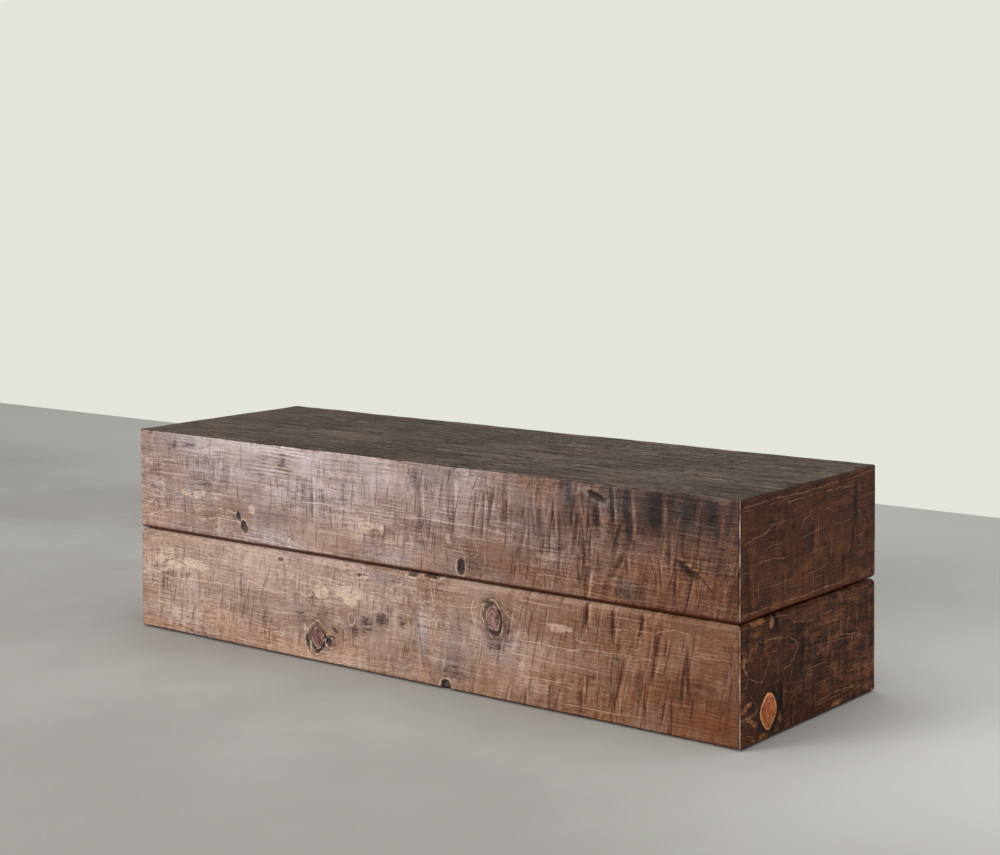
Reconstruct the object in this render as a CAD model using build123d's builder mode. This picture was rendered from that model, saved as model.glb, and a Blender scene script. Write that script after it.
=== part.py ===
from build123d import *
import os

# A long box bench clad in wide rough-sawn softwood boards, two courses high and two boards across the top.
# X runs along the bench, -Y is the front, and the origin is on the floor under the middle.

# Overall sizes
length = 1400.0
depth = 450.0
height = 400.0

# Cladding boards
board_thickness = 28.0
groove_height = 200.0  # middle of the open joint between the two courses, above the floor
course_gap = 3.0  # open joint at the bottom of the V groove
groove_chamfer = 6.0  # bevel on each side of the V groove
edge_arris = 2.5  # flat taken off every outer mitred corner
base_chamfer = 2.0
top_seam_chamfer = 2.0  # bevel on each side of the joint between the two top boards
floor_clearance = 3.0  # the boards stop this far above the floor
mitre_angle = 45.0  # of the joints at the outer corners, in degrees

# Loose tongues let into the joints
spline_thickness = 5.0
spline_width = 22.0
spline_end_margin = 15.0  # a tongue stops this far short of its board's ends
spline_setback_share = 0.32  # of the board thickness, from the inner corner of the mitre
spline_clearance = 0.1

# Inner frame
post_side = 45.0
rail_depth = 30.0
rail_height = 45.0
bearer_width = 45.0
bearer_height = 45.0
stud_width = 45.0
stud_depth = 30.0
carcass_recess = 2.0  # the frame stops this far above the lower edge of the boards

# Dowels in the butt joints of the frame
dowel_diameter = 8.0
dowel_length = 30.0
dowel_stagger = 10.0  # keeps dowels that cross in one post or bearer apart
dowel_clearance = 0.05
glue_space = 0.8  # spare depth past each end of a dowel and past a screw's tip

# Countersunk screws, all driven from the inside
screw_diameter = 5.0
screw_head_diameter = 10.0
screw_head_height = 3.0
screw_tip_length = 6.0
screw_tip_diameter = 1.0
screw_socket_width = 3.5
screw_socket_depth = 2.0
screw_clearance = 0.1
screw_bite = 18.0  # how far a screw reaches into the piece that it pulls in
seam_row_offset = 14.0  # screw rows in the seam rail, above and below the groove
screw_stagger = 40.0  # upward screws stand this far along the rail from the sideways ones
end_screw_spacing = 200.0
end_top_screw_spacing = 100.0
top_screw_recess = 12.0
seam_screw_distance = 45.0  # from the joint between the top boards to the first bearer screw
bearer_screw_spacing = 75.0

# Nail-in glides
glide_diameter = 28.0
glide_chamfer = 1.2
nail_diameter = 2.5
nail_length = 20.0
nail_head_diameter = 7.0
nail_head_thickness = 1.2
nail_head_cover = 1.4  # plastic between the nail's head and the frame
nail_clearance = 0.05

overrun = 1.0  # how far a cutter runs past the face that it opens

# Levels and inner sizes that follow from the sizes above
upper_low = groove_height + course_gap / 2
lower_high = groove_height - course_gap / 2
frame_low = floor_clearance + carcass_recess
frame_high = height - board_thickness
rail_levels = {
    "base": frame_low,
    "seam": groove_height - rail_height / 2,
    "top": frame_high - rail_height,
}
rib_names = ("left", "middle", "right")
bay_count = len(rib_names) + 1
long_rail_run = length - 2 * (board_thickness + post_side)
end_rail_run = depth - 2 * (board_thickness + post_side)
bay_length = long_rail_run / bay_count
rib_places = {name: (k + 1 - bay_count / 2) * bay_length for k, name in enumerate(rib_names)}
bay_centres = [(k + 0.5 - bay_count / 2) * bay_length for k in range(bay_count)]
rail_inner = board_thickness + rail_depth  # from a wall's outer face to the inner face of its rails
stud_inner = rail_inner + stud_depth
rail_middle = board_thickness + rail_depth / 2
stud_middle = rail_inner + stud_depth / 2
bearer_run = depth - 2 * rail_inner

# Each wall's own frame: origin on the floor under its outer face, x along the wall, y inwards, z up
walls = {
    "front": Plane(origin=(0, -depth / 2, 0), x_dir=(1, 0, 0), z_dir=(0, 0, 1)),
    "back": Plane(origin=(0, depth / 2, 0), x_dir=(-1, 0, 0), z_dir=(0, 0, 1)),
    "left": Plane(origin=(-length / 2, 0, 0), x_dir=(0, -1, 0), z_dir=(0, 0, 1)),
    "right": Plane(origin=(length / 2, 0, 0), x_dir=(0, 1, 0), z_dir=(0, 0, 1)),
}
long_walls = ("front", "back")
wall_lengths = {name: length if name in long_walls else depth for name in walls}
rail_runs = {name: long_rail_run if name in long_walls else end_rail_run for name in walls}


def section_plane(wall, along):
    """A cross-section plane of a wall: x inwards, y up, square to the wall's run."""
    origin = wall.from_local_coords((along, 0, 0))
    return Plane(origin=origin, x_dir=wall.y_dir, z_dir=wall.x_dir)


def facing(wall, along, inwards, up, direction):
    """A plane at a point given in a wall's frame, whose normal is one of that wall's axes."""
    normals = {"inwards": wall.y_dir, "along": wall.x_dir, "up": wall.z_dir, "down": -wall.z_dir}
    return Plane(origin=wall.from_local_coords((along, inwards, up)), z_dir=normals[direction])


def finish_piece(piece, name):
    piece.part.label = name
    export_step(piece.part, f"parts/{name}.step")


def near(piece, cutters):
    """The cutters whose boxes touch the piece's box."""
    box = piece.part.bounding_box()

    def touches(cutter):
        other = cutter.bounding_box()
        low = [max(a, b) for a, b in zip(tuple(box.min), tuple(other.min))]
        high = [min(a, b) for a, b in zip(tuple(box.max), tuple(other.max))]
        return all(a < b for a, b in zip(low, high))

    return [cutter for cutter in cutters if touches(cutter)]


# Screws: the head's flat is at the local origin and the shank runs down the local -Z
def make_screw(screw_length):
    shank_radius = screw_diameter / 2
    with BuildPart() as screw:
        with BuildSketch(Plane.XZ):
            with BuildLine():
                Polyline(
                    (0, 0),
                    (screw_head_diameter / 2, 0),
                    (shank_radius, -screw_head_height),
                    (shank_radius, screw_tip_length - screw_length),
                    (screw_tip_diameter / 2, -screw_length),
                    (0, -screw_length),
                    close=True,
                )
            make_face()
        revolve(axis=Axis.Z)
        with BuildSketch(Plane.XY):
            RegularPolygon(radius=screw_socket_width / 2, side_count=6, major_radius=False)
        extrude(amount=-screw_socket_depth, mode=Mode.SUBTRACT)
    return screw


def make_screw_hole(screw_length, recess):
    """The countersunk hole for a screw whose head lies recess deep in its piece."""
    hole_radius = screw_diameter / 2 + screw_clearance
    head_radius = screw_head_diameter / 2 + screw_clearance
    with BuildPart() as hole:
        with BuildSketch(Plane.XZ):
            with BuildLine():
                Polyline(
                    (0, recess + overrun),
                    (head_radius, recess + overrun),
                    (head_radius, 0),
                    (hole_radius, -screw_head_height),
                    (hole_radius, -screw_length - glue_space),
                    (0, -screw_length - glue_space),
                    close=True,
                )
            make_face()
        revolve(axis=Axis.Z)
    return hole


board_screw_length = rail_depth + screw_bite
stud_screw_length = stud_depth + screw_bite
rail_top_screw_length = rail_height - top_screw_recess + screw_bite
bearer_top_screw_length = bearer_height - top_screw_recess + screw_bite


def board_screw_places(name):
    """Sideways screws through a wall's rails into its boards: two rows at the seam, one at each other rail."""
    half_end = end_screw_spacing / 2
    stations = bay_centres if name in long_walls else [-half_end, half_end]
    rows = [
        rail_levels["base"] + rail_height / 2,
        groove_height - seam_row_offset,
        groove_height + seam_row_offset,
        rail_levels["top"] + rail_height / 2,
    ]
    return [facing(walls[name], x, rail_inner, z, "inwards") for x in stations for z in rows]


def rail_top_screw_places():
    """Upward screws through the top rails into the top boards."""
    z = rail_levels["top"] + top_screw_recess
    half_end = end_top_screw_spacing / 2
    places = []
    for name, wall in walls.items():
        stations = [x + screw_stagger for x in bay_centres] if name in long_walls else [-half_end, half_end]
        places += [facing(wall, x, rail_middle, z, "down") for x in stations]
    return places


def bearer_screw_places():
    """Upward screws through the bearers, two into each top board."""
    z = frame_high - bearer_height + top_screw_recess
    offsets = [seam_screw_distance, seam_screw_distance + bearer_screw_spacing]
    return [
        Plane(origin=(x, side * y, z), z_dir=(0, 0, -1))
        for x in rib_places.values()
        for y in offsets
        for side in (-1, 1)
    ]


def stud_screw_places():
    """Screws through each stud into the seam rail behind it."""
    return [
        facing(walls[name], x, stud_inner, groove_height, "inwards")
        for name in long_walls
        for x in rib_places.values()
    ]


# Dowels lie half in each of the two pieces that meet at their place
def dowel_places():
    places = []
    for name, wall in walls.items():
        half_run = rail_runs[name] / 2
        shift = dowel_stagger if name in long_walls else -dowel_stagger
        for low in rail_levels.values():
            z = low + rail_height / 2 + shift
            places += [facing(wall, end * half_run, rail_middle, z, "along") for end in (-1, 1)]
    bearer_middles = (frame_low + bearer_height / 2, frame_high - bearer_height / 2)
    stud_ends = (frame_low + bearer_height, frame_high - bearer_height)
    for wall_name in long_walls:
        for x in rib_places.values():
            along = x if wall_name == "front" else -x
            wall = walls[wall_name]
            places += [facing(wall, along + dowel_stagger, rail_inner, z, "inwards") for z in bearer_middles]
            places += [facing(wall, along - dowel_stagger, stud_middle, z, "up") for z in stud_ends]
    return places


def make_dowel(radius, dowel_run):
    with BuildPart() as dowel:
        with BuildSketch(Plane.XY.offset(-dowel_run / 2)):
            Circle(radius)
        extrude(amount=dowel_run)
    return dowel


# Glides under the corner posts and under the middle of each long base rail
def glide_places():
    post_middle = board_thickness + post_side / 2
    corner_x, corner_y = length / 2 - post_middle, depth / 2 - post_middle
    corners = [(x, y) for x in (-corner_x, corner_x) for y in (-corner_y, corner_y)]
    middles = [(0, side * (depth / 2 - rail_middle)) for side in (-1, 1)]
    return [Plane.XY.offset(frame_low).move(Location((x, y, 0))) for x, y in corners + middles]


def make_glide():
    """A nylon disc moulded round a nail's head: the disc hangs below its plane, the nail stands above."""
    head_top = -nail_head_cover
    head_bottom = head_top - nail_head_thickness
    with BuildPart() as glide:
        with BuildSketch(Plane.XZ):
            with BuildLine():
                Polyline(
                    (nail_diameter / 2, 0),
                    (glide_diameter / 2, 0),
                    (glide_diameter / 2, glide_chamfer - frame_low),
                    (glide_diameter / 2 - glide_chamfer, -frame_low),
                    (0, -frame_low),
                    (0, head_bottom),
                    (nail_head_diameter / 2, head_bottom),
                    (nail_head_diameter / 2, head_top),
                    (nail_diameter / 2, head_top),
                    close=True,
                )
            make_face()
        revolve(axis=Axis.Z)
    return glide


def make_nail():
    head_top = -nail_head_cover
    head_bottom = head_top - nail_head_thickness
    with BuildPart() as nail:
        with BuildSketch(Plane.XZ):
            with BuildLine():
                Polyline(
                    (0, head_bottom),
                    (nail_head_diameter / 2, head_bottom),
                    (nail_head_diameter / 2, head_top),
                    (nail_diameter / 2, head_top),
                    (nail_diameter / 2, nail_length - nail_diameter),
                    (0, nail_length),
                    close=True,
                )
            make_face()
        revolve(axis=Axis.Z)
    return nail


def make_nail_hole():
    with BuildPart() as hole:
        with BuildSketch(Plane.XY.offset(-overrun)):
            Circle(nail_diameter / 2 + nail_clearance)
        extrude(amount=overrun + nail_length + glue_space)
    return hole


# Every fastener set: its own shape, the hole that it needs, and its places
fastener_sets = {
    f"{name}_board_screws": (
        make_screw(board_screw_length),
        make_screw_hole(board_screw_length, 0),
        board_screw_places(name),
    )
    for name in walls
}
fastener_sets["rail_top_screws"] = (
    make_screw(rail_top_screw_length),
    make_screw_hole(rail_top_screw_length, top_screw_recess),
    rail_top_screw_places(),
)
fastener_sets["bearer_top_screws"] = (
    make_screw(bearer_top_screw_length),
    make_screw_hole(bearer_top_screw_length, top_screw_recess),
    bearer_screw_places(),
)
fastener_sets["stud_screws"] = (
    make_screw(stud_screw_length),
    make_screw_hole(stud_screw_length, 0),
    stud_screw_places(),
)
fastener_sets["frame_dowels"] = (
    make_dowel(dowel_diameter / 2, dowel_length),
    make_dowel(dowel_diameter / 2 + dowel_clearance, dowel_length + 2 * glue_space),
    dowel_places(),
)
fastener_sets["glide_nails"] = (make_nail(), make_nail_hole(), glide_places())

cutters = [
    hole.part.moved(place.location) for _, hole, places in fastener_sets.values() for place in places
]


def make_fasteners(shape, places):
    with BuildPart() as group:
        for place in places:
            with Locations(place):
                add(shape.part)
    return group


# Corner mitres: outline of a wall board seen from above, and the tongue that crosses the mitre
def mitred_plan(run):
    half_run = run / 2
    return [
        (edge_arris - half_run, 0),
        (half_run - edge_arris, 0),
        (half_run - edge_arris / 2, edge_arris / 2),
        (half_run - board_thickness, board_thickness),
        (board_thickness - half_run, board_thickness),
        (edge_arris / 2 - half_run, edge_arris / 2),
    ]


def tongue_centre(run, end):
    """Middle of a corner tongue in a wall's frame; end is -1 or 1 for the wall's two ends."""
    setback = board_thickness * (1 - spline_setback_share)
    return (end * (run / 2 - setback), setback)


def tongue_sketch(run, end, clearance):
    with Locations(tongue_centre(run, end)):
        Rectangle(
            spline_width + 2 * clearance,
            spline_thickness + 2 * clearance,
            rotation=end * mitre_angle,
        )


courses = {
    "lower": {
        "low": floor_clearance,
        "high": lower_high,
        "tongue_top": lower_high - spline_end_margin,
        "section": [
            (0, floor_clearance + base_chamfer),
            (0, lower_high - groove_chamfer),
            (groove_chamfer, lower_high),
            (board_thickness, lower_high),
            (board_thickness, floor_clearance),
            (base_chamfer, floor_clearance),
        ],
    },
    "upper": {
        "low": upper_low,
        "high": height,
        "tongue_top": frame_high - spline_end_margin,
        "section": [
            (0, upper_low + groove_chamfer),
            (0, height - edge_arris),
            (edge_arris / 2, height - edge_arris / 2),
            (board_thickness, frame_high),
            (board_thickness, upper_low),
            (groove_chamfer, upper_low),
        ],
    },
}


def make_wall_board(name, course):
    """One board of a wall: mitred at both ends, and in the upper course along its top edge as well."""
    wall, run = walls[name], wall_lengths[name]
    low, high = course["low"], course["high"]
    tongue_low = low + spline_end_margin
    with BuildPart() as board:
        with BuildSketch(section_plane(wall, -run / 2)):
            with BuildLine():
                Polyline(*course["section"], close=True)
            make_face()
        extrude(amount=run)
        with BuildSketch(wall.offset(low)):
            with BuildLine():
                Polyline(*mitred_plan(run), close=True)
            make_face()
        extrude(amount=high - low, mode=Mode.INTERSECT)
        with BuildSketch(wall.offset(tongue_low)):
            for end in (-1, 1):
                tongue_sketch(run, end, spline_clearance)
        extrude(amount=course["tongue_top"] - tongue_low, mode=Mode.SUBTRACT)
        for cutter in near(board, cutters):
            add(cutter, mode=Mode.SUBTRACT)
    return board


def make_corner_tongues():
    with BuildPart() as tongues:
        for name in long_walls:
            for course in courses.values():
                low = course["low"] + spline_end_margin + spline_clearance
                with BuildSketch(walls[name].offset(low)):
                    for end in (-1, 1):
                        tongue_sketch(length, end, 0)
                extrude(amount=course["tongue_top"] - spline_clearance - low)
    return tongues


# Top: two boards mitred to the walls on their three outer sides, with a loose tongue along the joint
seam_tongue_run = length - 2 * (board_thickness + spline_end_margin)


def make_top_board(name):
    wall = walls[name]
    half_length, half_depth = length / 2, depth / 2
    with BuildPart() as board:
        with BuildSketch(section_plane(wall, -half_length)):
            with BuildLine():
                Polyline(
                    (edge_arris, height),
                    (edge_arris / 2, height - edge_arris / 2),
                    (board_thickness, frame_high),
                    (half_depth, frame_high),
                    (half_depth, height - top_seam_chamfer),
                    (half_depth - top_seam_chamfer, height),
                    close=True,
                )
            make_face()
        extrude(amount=length)
        with BuildSketch(Plane(origin=wall.origin, x_dir=wall.x_dir, z_dir=-wall.y_dir)):
            with BuildLine():
                Polyline(
                    (edge_arris - half_length, height),
                    (edge_arris / 2 - half_length, height - edge_arris / 2),
                    (board_thickness - half_length, frame_high),
                    (half_length - board_thickness, frame_high),
                    (half_length - edge_arris / 2, height - edge_arris / 2),
                    (half_length - edge_arris, height),
                    close=True,
                )
            make_face()
        extrude(amount=-half_depth, mode=Mode.INTERSECT)
        with BuildSketch(Plane.YZ):
            with Locations((0, height - board_thickness / 2)):
                Rectangle(spline_width + 2 * spline_clearance, spline_thickness + 2 * spline_clearance)
        extrude(amount=seam_tongue_run / 2 + spline_clearance, both=True, mode=Mode.SUBTRACT)
        for cutter in near(board, cutters):
            add(cutter, mode=Mode.SUBTRACT)
    return board


def make_seam_tongue():
    with BuildPart() as tongue:
        with BuildSketch(Plane.YZ):
            with Locations((0, height - board_thickness / 2)):
                Rectangle(spline_width, spline_thickness)
        extrude(amount=seam_tongue_run / 2, both=True)
    return tongue


# Frame members: a rectangle on a plane, extruded, then bored for its fasteners
def make_member(base, centre, width, breadth, run):
    with BuildPart() as member:
        with BuildSketch(base):
            with Locations(centre):
                Rectangle(width, breadth)
        extrude(amount=run)
        for cutter in near(member, cutters):
            add(cutter, mode=Mode.SUBTRACT)
    return member


def make_rail(name, low):
    run = rail_runs[name]
    centre = (rail_middle, low + rail_height / 2)
    return make_member(section_plane(walls[name], -run / 2), centre, rail_depth, rail_height, run)


def make_post(wall_name, end):
    """A corner post at one end of a long wall."""
    inset = board_thickness + post_side / 2
    centre = (end * (length / 2 - inset), inset)
    return make_member(walls[wall_name].offset(frame_low), centre, post_side, post_side, frame_high - frame_low)


def make_bearer(x, low):
    base = section_plane(walls["right"], -bearer_run / 2)
    return make_member(base, (length / 2 - x, low + bearer_height / 2), bearer_width, bearer_height, bearer_run)


def make_stud(wall_name, x):
    low = frame_low + bearer_height
    along = x if wall_name == "front" else -x
    run = frame_high - bearer_height - low
    return make_member(walls[wall_name].offset(low), (along, stud_middle), stud_width, stud_depth, run)


os.makedirs("parts", exist_ok=True)

for wall_name in walls:
    for course_name, course_sizes in courses.items():
        finish_piece(make_wall_board(wall_name, course_sizes), f"{wall_name}_board_{course_name}")
    for level_name, level in rail_levels.items():
        finish_piece(make_rail(wall_name, level), f"{wall_name}_{level_name}_rail")

for wall_name in long_walls:
    finish_piece(make_top_board(wall_name), f"top_board_{wall_name}")
    for side_name, side in {"left": -1, "right": 1}.items():
        wall_end = side if wall_name == "front" else -side
        finish_piece(make_post(wall_name, wall_end), f"corner_post_{wall_name}_{side_name}")
    for rib_name, rib_x in rib_places.items():
        finish_piece(make_stud(wall_name, rib_x), f"stud_{wall_name}_{rib_name}")

for rib_name, rib_x in rib_places.items():
    finish_piece(make_bearer(rib_x, frame_high - bearer_height), f"top_bearer_{rib_name}")
    finish_piece(make_bearer(rib_x, frame_low), f"base_tie_{rib_name}")

finish_piece(make_corner_tongues(), "corner_tongues")
finish_piece(make_seam_tongue(), "top_seam_tongue")
finish_piece(make_fasteners(make_glide(), glide_places()), "glides")
for set_name, (shape, _, set_places) in fastener_sets.items():
    finish_piece(make_fasteners(shape, set_places), set_name)
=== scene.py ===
import math

import bpy
import numpy as np
from mathutils import Matrix, Vector


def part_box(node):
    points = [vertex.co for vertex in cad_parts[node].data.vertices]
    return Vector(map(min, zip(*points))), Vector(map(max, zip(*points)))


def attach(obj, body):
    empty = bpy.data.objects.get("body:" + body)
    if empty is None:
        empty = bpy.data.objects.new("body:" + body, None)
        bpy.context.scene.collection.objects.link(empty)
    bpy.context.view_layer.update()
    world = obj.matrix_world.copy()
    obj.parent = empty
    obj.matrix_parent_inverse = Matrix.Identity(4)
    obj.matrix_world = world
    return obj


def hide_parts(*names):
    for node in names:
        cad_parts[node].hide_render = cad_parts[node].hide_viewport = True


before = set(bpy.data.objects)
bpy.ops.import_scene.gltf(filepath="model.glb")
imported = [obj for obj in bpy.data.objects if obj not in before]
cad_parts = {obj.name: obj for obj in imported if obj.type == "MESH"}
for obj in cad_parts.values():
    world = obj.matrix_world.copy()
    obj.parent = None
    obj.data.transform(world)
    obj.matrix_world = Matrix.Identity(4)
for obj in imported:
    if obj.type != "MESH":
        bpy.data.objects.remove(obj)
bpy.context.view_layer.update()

# Sizes in metres, read from the frame or named here.
mm = 0.001
wall_low, wall_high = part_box("front_board_upper")
lower_low, lower_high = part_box("front_board_lower")
top_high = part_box("top_board_front")[1]
end_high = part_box("right_board_upper")[1]
half_length = end_high.x
half_depth = -wall_low.y
height = top_high.z
board_thickness = wall_high.y - wall_low.y
arris = 2 * (height - wall_high.z)
course_height = 200 * mm
middle_of_upper_course = 1.5 * course_height
groove_chamfer = 6 * mm
base_chamfer = 2 * mm
seam_chamfer = 2 * mm
groove_spare = 7 * mm
lit_lip_groove = 0.1
column_step = 2.0 * mm
row_step = 2.0 * mm
end_column_step = 2.4 * mm
corner_recess = 0.6 * mm
corner_run = 30 * mm
end_reach = 14 * mm
top_reach = 22 * mm
wall_reach = 38 * mm
line_reach = 6 * mm
gouge_reach = 22 * mm
oval_reach = 12 * mm
far_away = 9.0  # stands for a place that no mark comes near
no_arris = 1.0  # stands for the distance to an arris that a board doesn't have
grain_shift = 3.7  # each board has its own stretch of grain, this far from the next


def colour(red, green, blue):
    """A colour given in the usual 0 to 255 display values, as the linear values that shaders take."""
    shares = [value / 255 for value in (red, green, blue)]
    linear = [s / 12.92 if s <= 0.04045 else ((s + 0.055) / 1.055) ** 2.4 for s in shares]
    return (*linear, 1.0)


class Graph:
    """Short calls for building a shader or geometry node tree."""

    def __init__(self, tree):
        self.tree = tree

    def add(self, kind, **settings):
        node = self.tree.nodes.new(kind)
        for name, value in settings.items():
            setattr(node, name, value)
        return node

    def feed(self, socket, value):
        if isinstance(value, bpy.types.NodeSocket):
            self.tree.links.new(value, socket)
        elif value is not None:
            socket.default_value = value

    def fed(self, node, *values, output=0):
        """Feeds the node's first inputs in turn and returns one of its outputs."""
        for socket, value in zip(node.inputs, values):
            self.feed(socket, value)
        return node.outputs[output]

    def math(self, operation, *values, clamp=False):
        return self.fed(self.add("ShaderNodeMath", operation=operation, use_clamp=clamp), *values)

    def plus(self, first, second):
        return self.math("ADD", first, second)

    def minus(self, first, second):
        return self.math("SUBTRACT", first, second)

    def times(self, first, second, clamp=False):
        return self.math("MULTIPLY", first, second, clamp=clamp)

    def times_plus(self, first, second, third):
        return self.math("MULTIPLY_ADD", first, second, third)

    def length_of(self, x, y):
        return self.math("SQRT", self.times_plus(x, x, self.times(y, y)))

    def vector(self, operation, *values, output=0):
        return self.fed(self.add("ShaderNodeVectorMath", operation=operation), *values, output=output)

    def combine(self, x, y, z):
        return self.fed(self.add("ShaderNodeCombineXYZ"), x, y, z)

    def separate(self, vector):
        node = self.add("ShaderNodeSeparateXYZ")
        self.feed(node.inputs[0], vector)
        return node.outputs[0], node.outputs[1], node.outputs[2]

    def noise(self, place, stretch=(1, 1, 1), detail=2.0, roughness=0.5):
        """Smooth noise with its own number of cells per metre along each direction."""
        node = self.add("ShaderNodeTexNoise")
        self.feed(node.inputs["Vector"], self.vector("MULTIPLY", place, stretch))
        for name, value in (("Scale", 1.0), ("Detail", detail), ("Roughness", roughness)):
            self.feed(node.inputs[name], value)
        return node.outputs[0]

    def step(self, value, low, high, low_result=0.0, high_result=1.0):
        """A soft step: low_result below low, high_result above high."""
        node = self.add("ShaderNodeMapRange", interpolation_type="SMOOTHSTEP")
        return self.fed(node, value, low, high, low_result, high_result)

    def mix(self, factor, first, second, blend="MIX"):
        node = self.add("ShaderNodeMix", data_type="RGBA", blend_type=blend)
        for number, value in ((0, factor), (6, first), (7, second)):
            self.feed(node.inputs[number], value)
        return node.outputs[2]

    def ramp(self, value, stops):
        node = self.add("ShaderNodeValToRGB")
        elements = node.color_ramp.elements
        while len(elements) < len(stops):
            elements.new(0.5)
        for element, (position, tint) in zip(elements, stops):
            element.position = position
            element.color = tint
        return self.fed(node, value)

    def attribute(self, name, output="Fac"):
        return self.add("ShaderNodeAttribute", attribute_name=name).outputs[output]

    def centred(self, value, amount=1.0):
        """A noise value moved to lie either side of zero, times an amount."""
        return self.times(self.minus(value, 0.5), amount)

    def total(self, parts, start=0.0):
        """The start value with each part added, times its share."""
        for value, share in parts:
            start = self.times_plus(value, share, start)
        return start

    def band(self, value, middle, full, gone):
        """1 within `full` of the middle value, falling to 0 at `gone`."""
        return self.step(self.math("ABSOLUTE", self.minus(value, middle)), full, gone, 1.0, 0.0)

    def layers(self, base, *covers):
        """Lays tints over the base in turn, each where its mask is and by its share."""
        for mask, share, tint in covers:
            base = self.mix(self.times(mask, share), base, tint)
        return base

    def effect(self, group, **values):
        """Places a node group, feeds its named inputs and returns its outputs by name."""
        node = self.add("ShaderNodeGroup", node_tree=group)
        for name, value in values.items():
            self.feed(node.inputs[name.replace("_", " ").title()], value)
        return {output.name: output for output in node.outputs}


def new_effect(name, inputs, outputs):
    """An empty shader node group: inputs give a name and a default, outputs a name each."""
    tree = bpy.data.node_groups.new(name, "ShaderNodeTree")
    for label, default in inputs:
        kind = "NodeSocketFloat" if isinstance(default, float) else "NodeSocketVector"
        socket = tree.interface.new_socket(name=label, in_out="INPUT", socket_type=kind)
        if default is not None:
            socket.default_value = default
    for label in outputs:
        tree.interface.new_socket(name=label, in_out="OUTPUT", socket_type="NodeSocketFloat")
    graph = Graph(tree)
    given = {socket.name: socket for socket in graph.add("NodeGroupInput").outputs}
    wanted = {socket.name: socket for socket in graph.add("NodeGroupOutput").inputs}

    def give(label, value):
        graph.feed(wanted[label], value)

    return tree, graph, given, give


def make_growth_grain():
    """Fibres, flecks, raised lines and contour lines of plain-sawn wood that bend round knots."""
    tree, graph, given, give = new_effect(
        "growth_grain",
        [("Place", None), ("Swell", 0.0), ("Contours Per Metre", 30.0), ("Ridges Per Metre", 146.0),
         ("Fineness", 1.0)],
        ["Fibre", "Fleck", "Speckle", "Speck", "Cloud", "Blotch", "Hue", "Rough", "Raised", "Contour"],
    )
    place = given["Place"]
    u, v, w = graph.separate(place)
    sway = graph.times_plus(graph.noise(place, (3.5, 5, 1)), 26 * mm, given["Swell"])
    bent_v = graph.plus(v, sway)
    bent = graph.combine(u, graph.times(bent_v, given["Fineness"]), w)
    turned = graph.combine(v, u, w)
    textures = (
        ("Fibre", bent, (9, 290, 1), 3, 0.65),
        ("Fleck", bent, (70, 320, 1), 2, 0.6),
        ("Speckle", place, (290, 330, 1), 2, 0.7),
        ("Cloud", bent, (5, 13, 1), 3, 0.55),
        ("Blotch", bent, (24, 62, 1), 5, 0.68),
        ("Hue", turned, (14, 8, 1), 4, 0.65),
    )
    for label, where, stretch, detail, roughness in textures:
        give(label, graph.centred(graph.noise(where, stretch, detail, roughness)))
    give("Speck", graph.step(graph.noise(bent, (120, 240, 1), 2, 0.6), 0.37, 0.31))
    give("Rough", graph.step(graph.noise(bent, (9, 13, 3), 3), 0.4, 0.62))

    drift = graph.times(graph.noise(bent, (2.4, 6, 1), 3), 40 * mm)
    contour_phase = graph.math("FRACT", graph.times(graph.plus(bent_v, drift), given["Contours Per Metre"]))
    contour_here = graph.step(graph.noise(bent, (13, 24, 1), 4), 0.47, 0.6)
    give("Contour", graph.times(graph.band(contour_phase, 0.5, 0.01, 0.036), contour_here))

    uneven = graph.times(graph.noise(bent, (16, 70, 1), 3), 8 * mm)
    small_drift = graph.times_plus(graph.noise(bent, (2.5, 9, 1)), 20 * mm, uneven)
    ridge_phase = graph.math("FRACT", graph.times(graph.plus(bent_v, small_drift), given["Ridges Per Metre"]))
    ridge_here = graph.step(graph.noise(bent, (8, 15, 1), 3), 0.4, 0.62)
    ridge_broken = graph.step(graph.noise(place, (60, 90, 1), 3), 0.34, 0.6, 0.2, 1.0)
    ridge = graph.minus(graph.band(ridge_phase, 0.5, 0.04, 0.34), 0.4)
    give("Raised", graph.times(graph.times(ridge, ridge_broken), ridge_here))
    return tree


def leaning_noise(graph, place, lean, shift, stretch, detail):
    """Noise drawn out up the face and leaning by `lean` metres for each metre of height. The shift sets it
    apart from other such noises."""
    u, v, w = graph.separate(place)
    leaning = graph.minus(u, graph.times(v, lean))
    return graph.noise(graph.combine(leaning, v, graph.plus(w, shift)), stretch, detail, 0.6)


def thin_line(graph, place, offset, width, wandering=3 * mm):
    """A ragged thin line where the offset is under the half width, both in metres."""
    wander = graph.centred(graph.noise(place, (62, 62, 1), 3), wandering)
    uneven = graph.centred(graph.noise(place, (420, 150, 1), 2, 0.7), 2.6 * mm)
    away = graph.math("ABSOLUTE", graph.plus(offset, wander))
    past_edge = graph.plus(graph.minus(away, width), uneven)
    return graph.step(past_edge, -0.9 * mm, 0.9 * mm, 1.0, 0.0)


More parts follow.
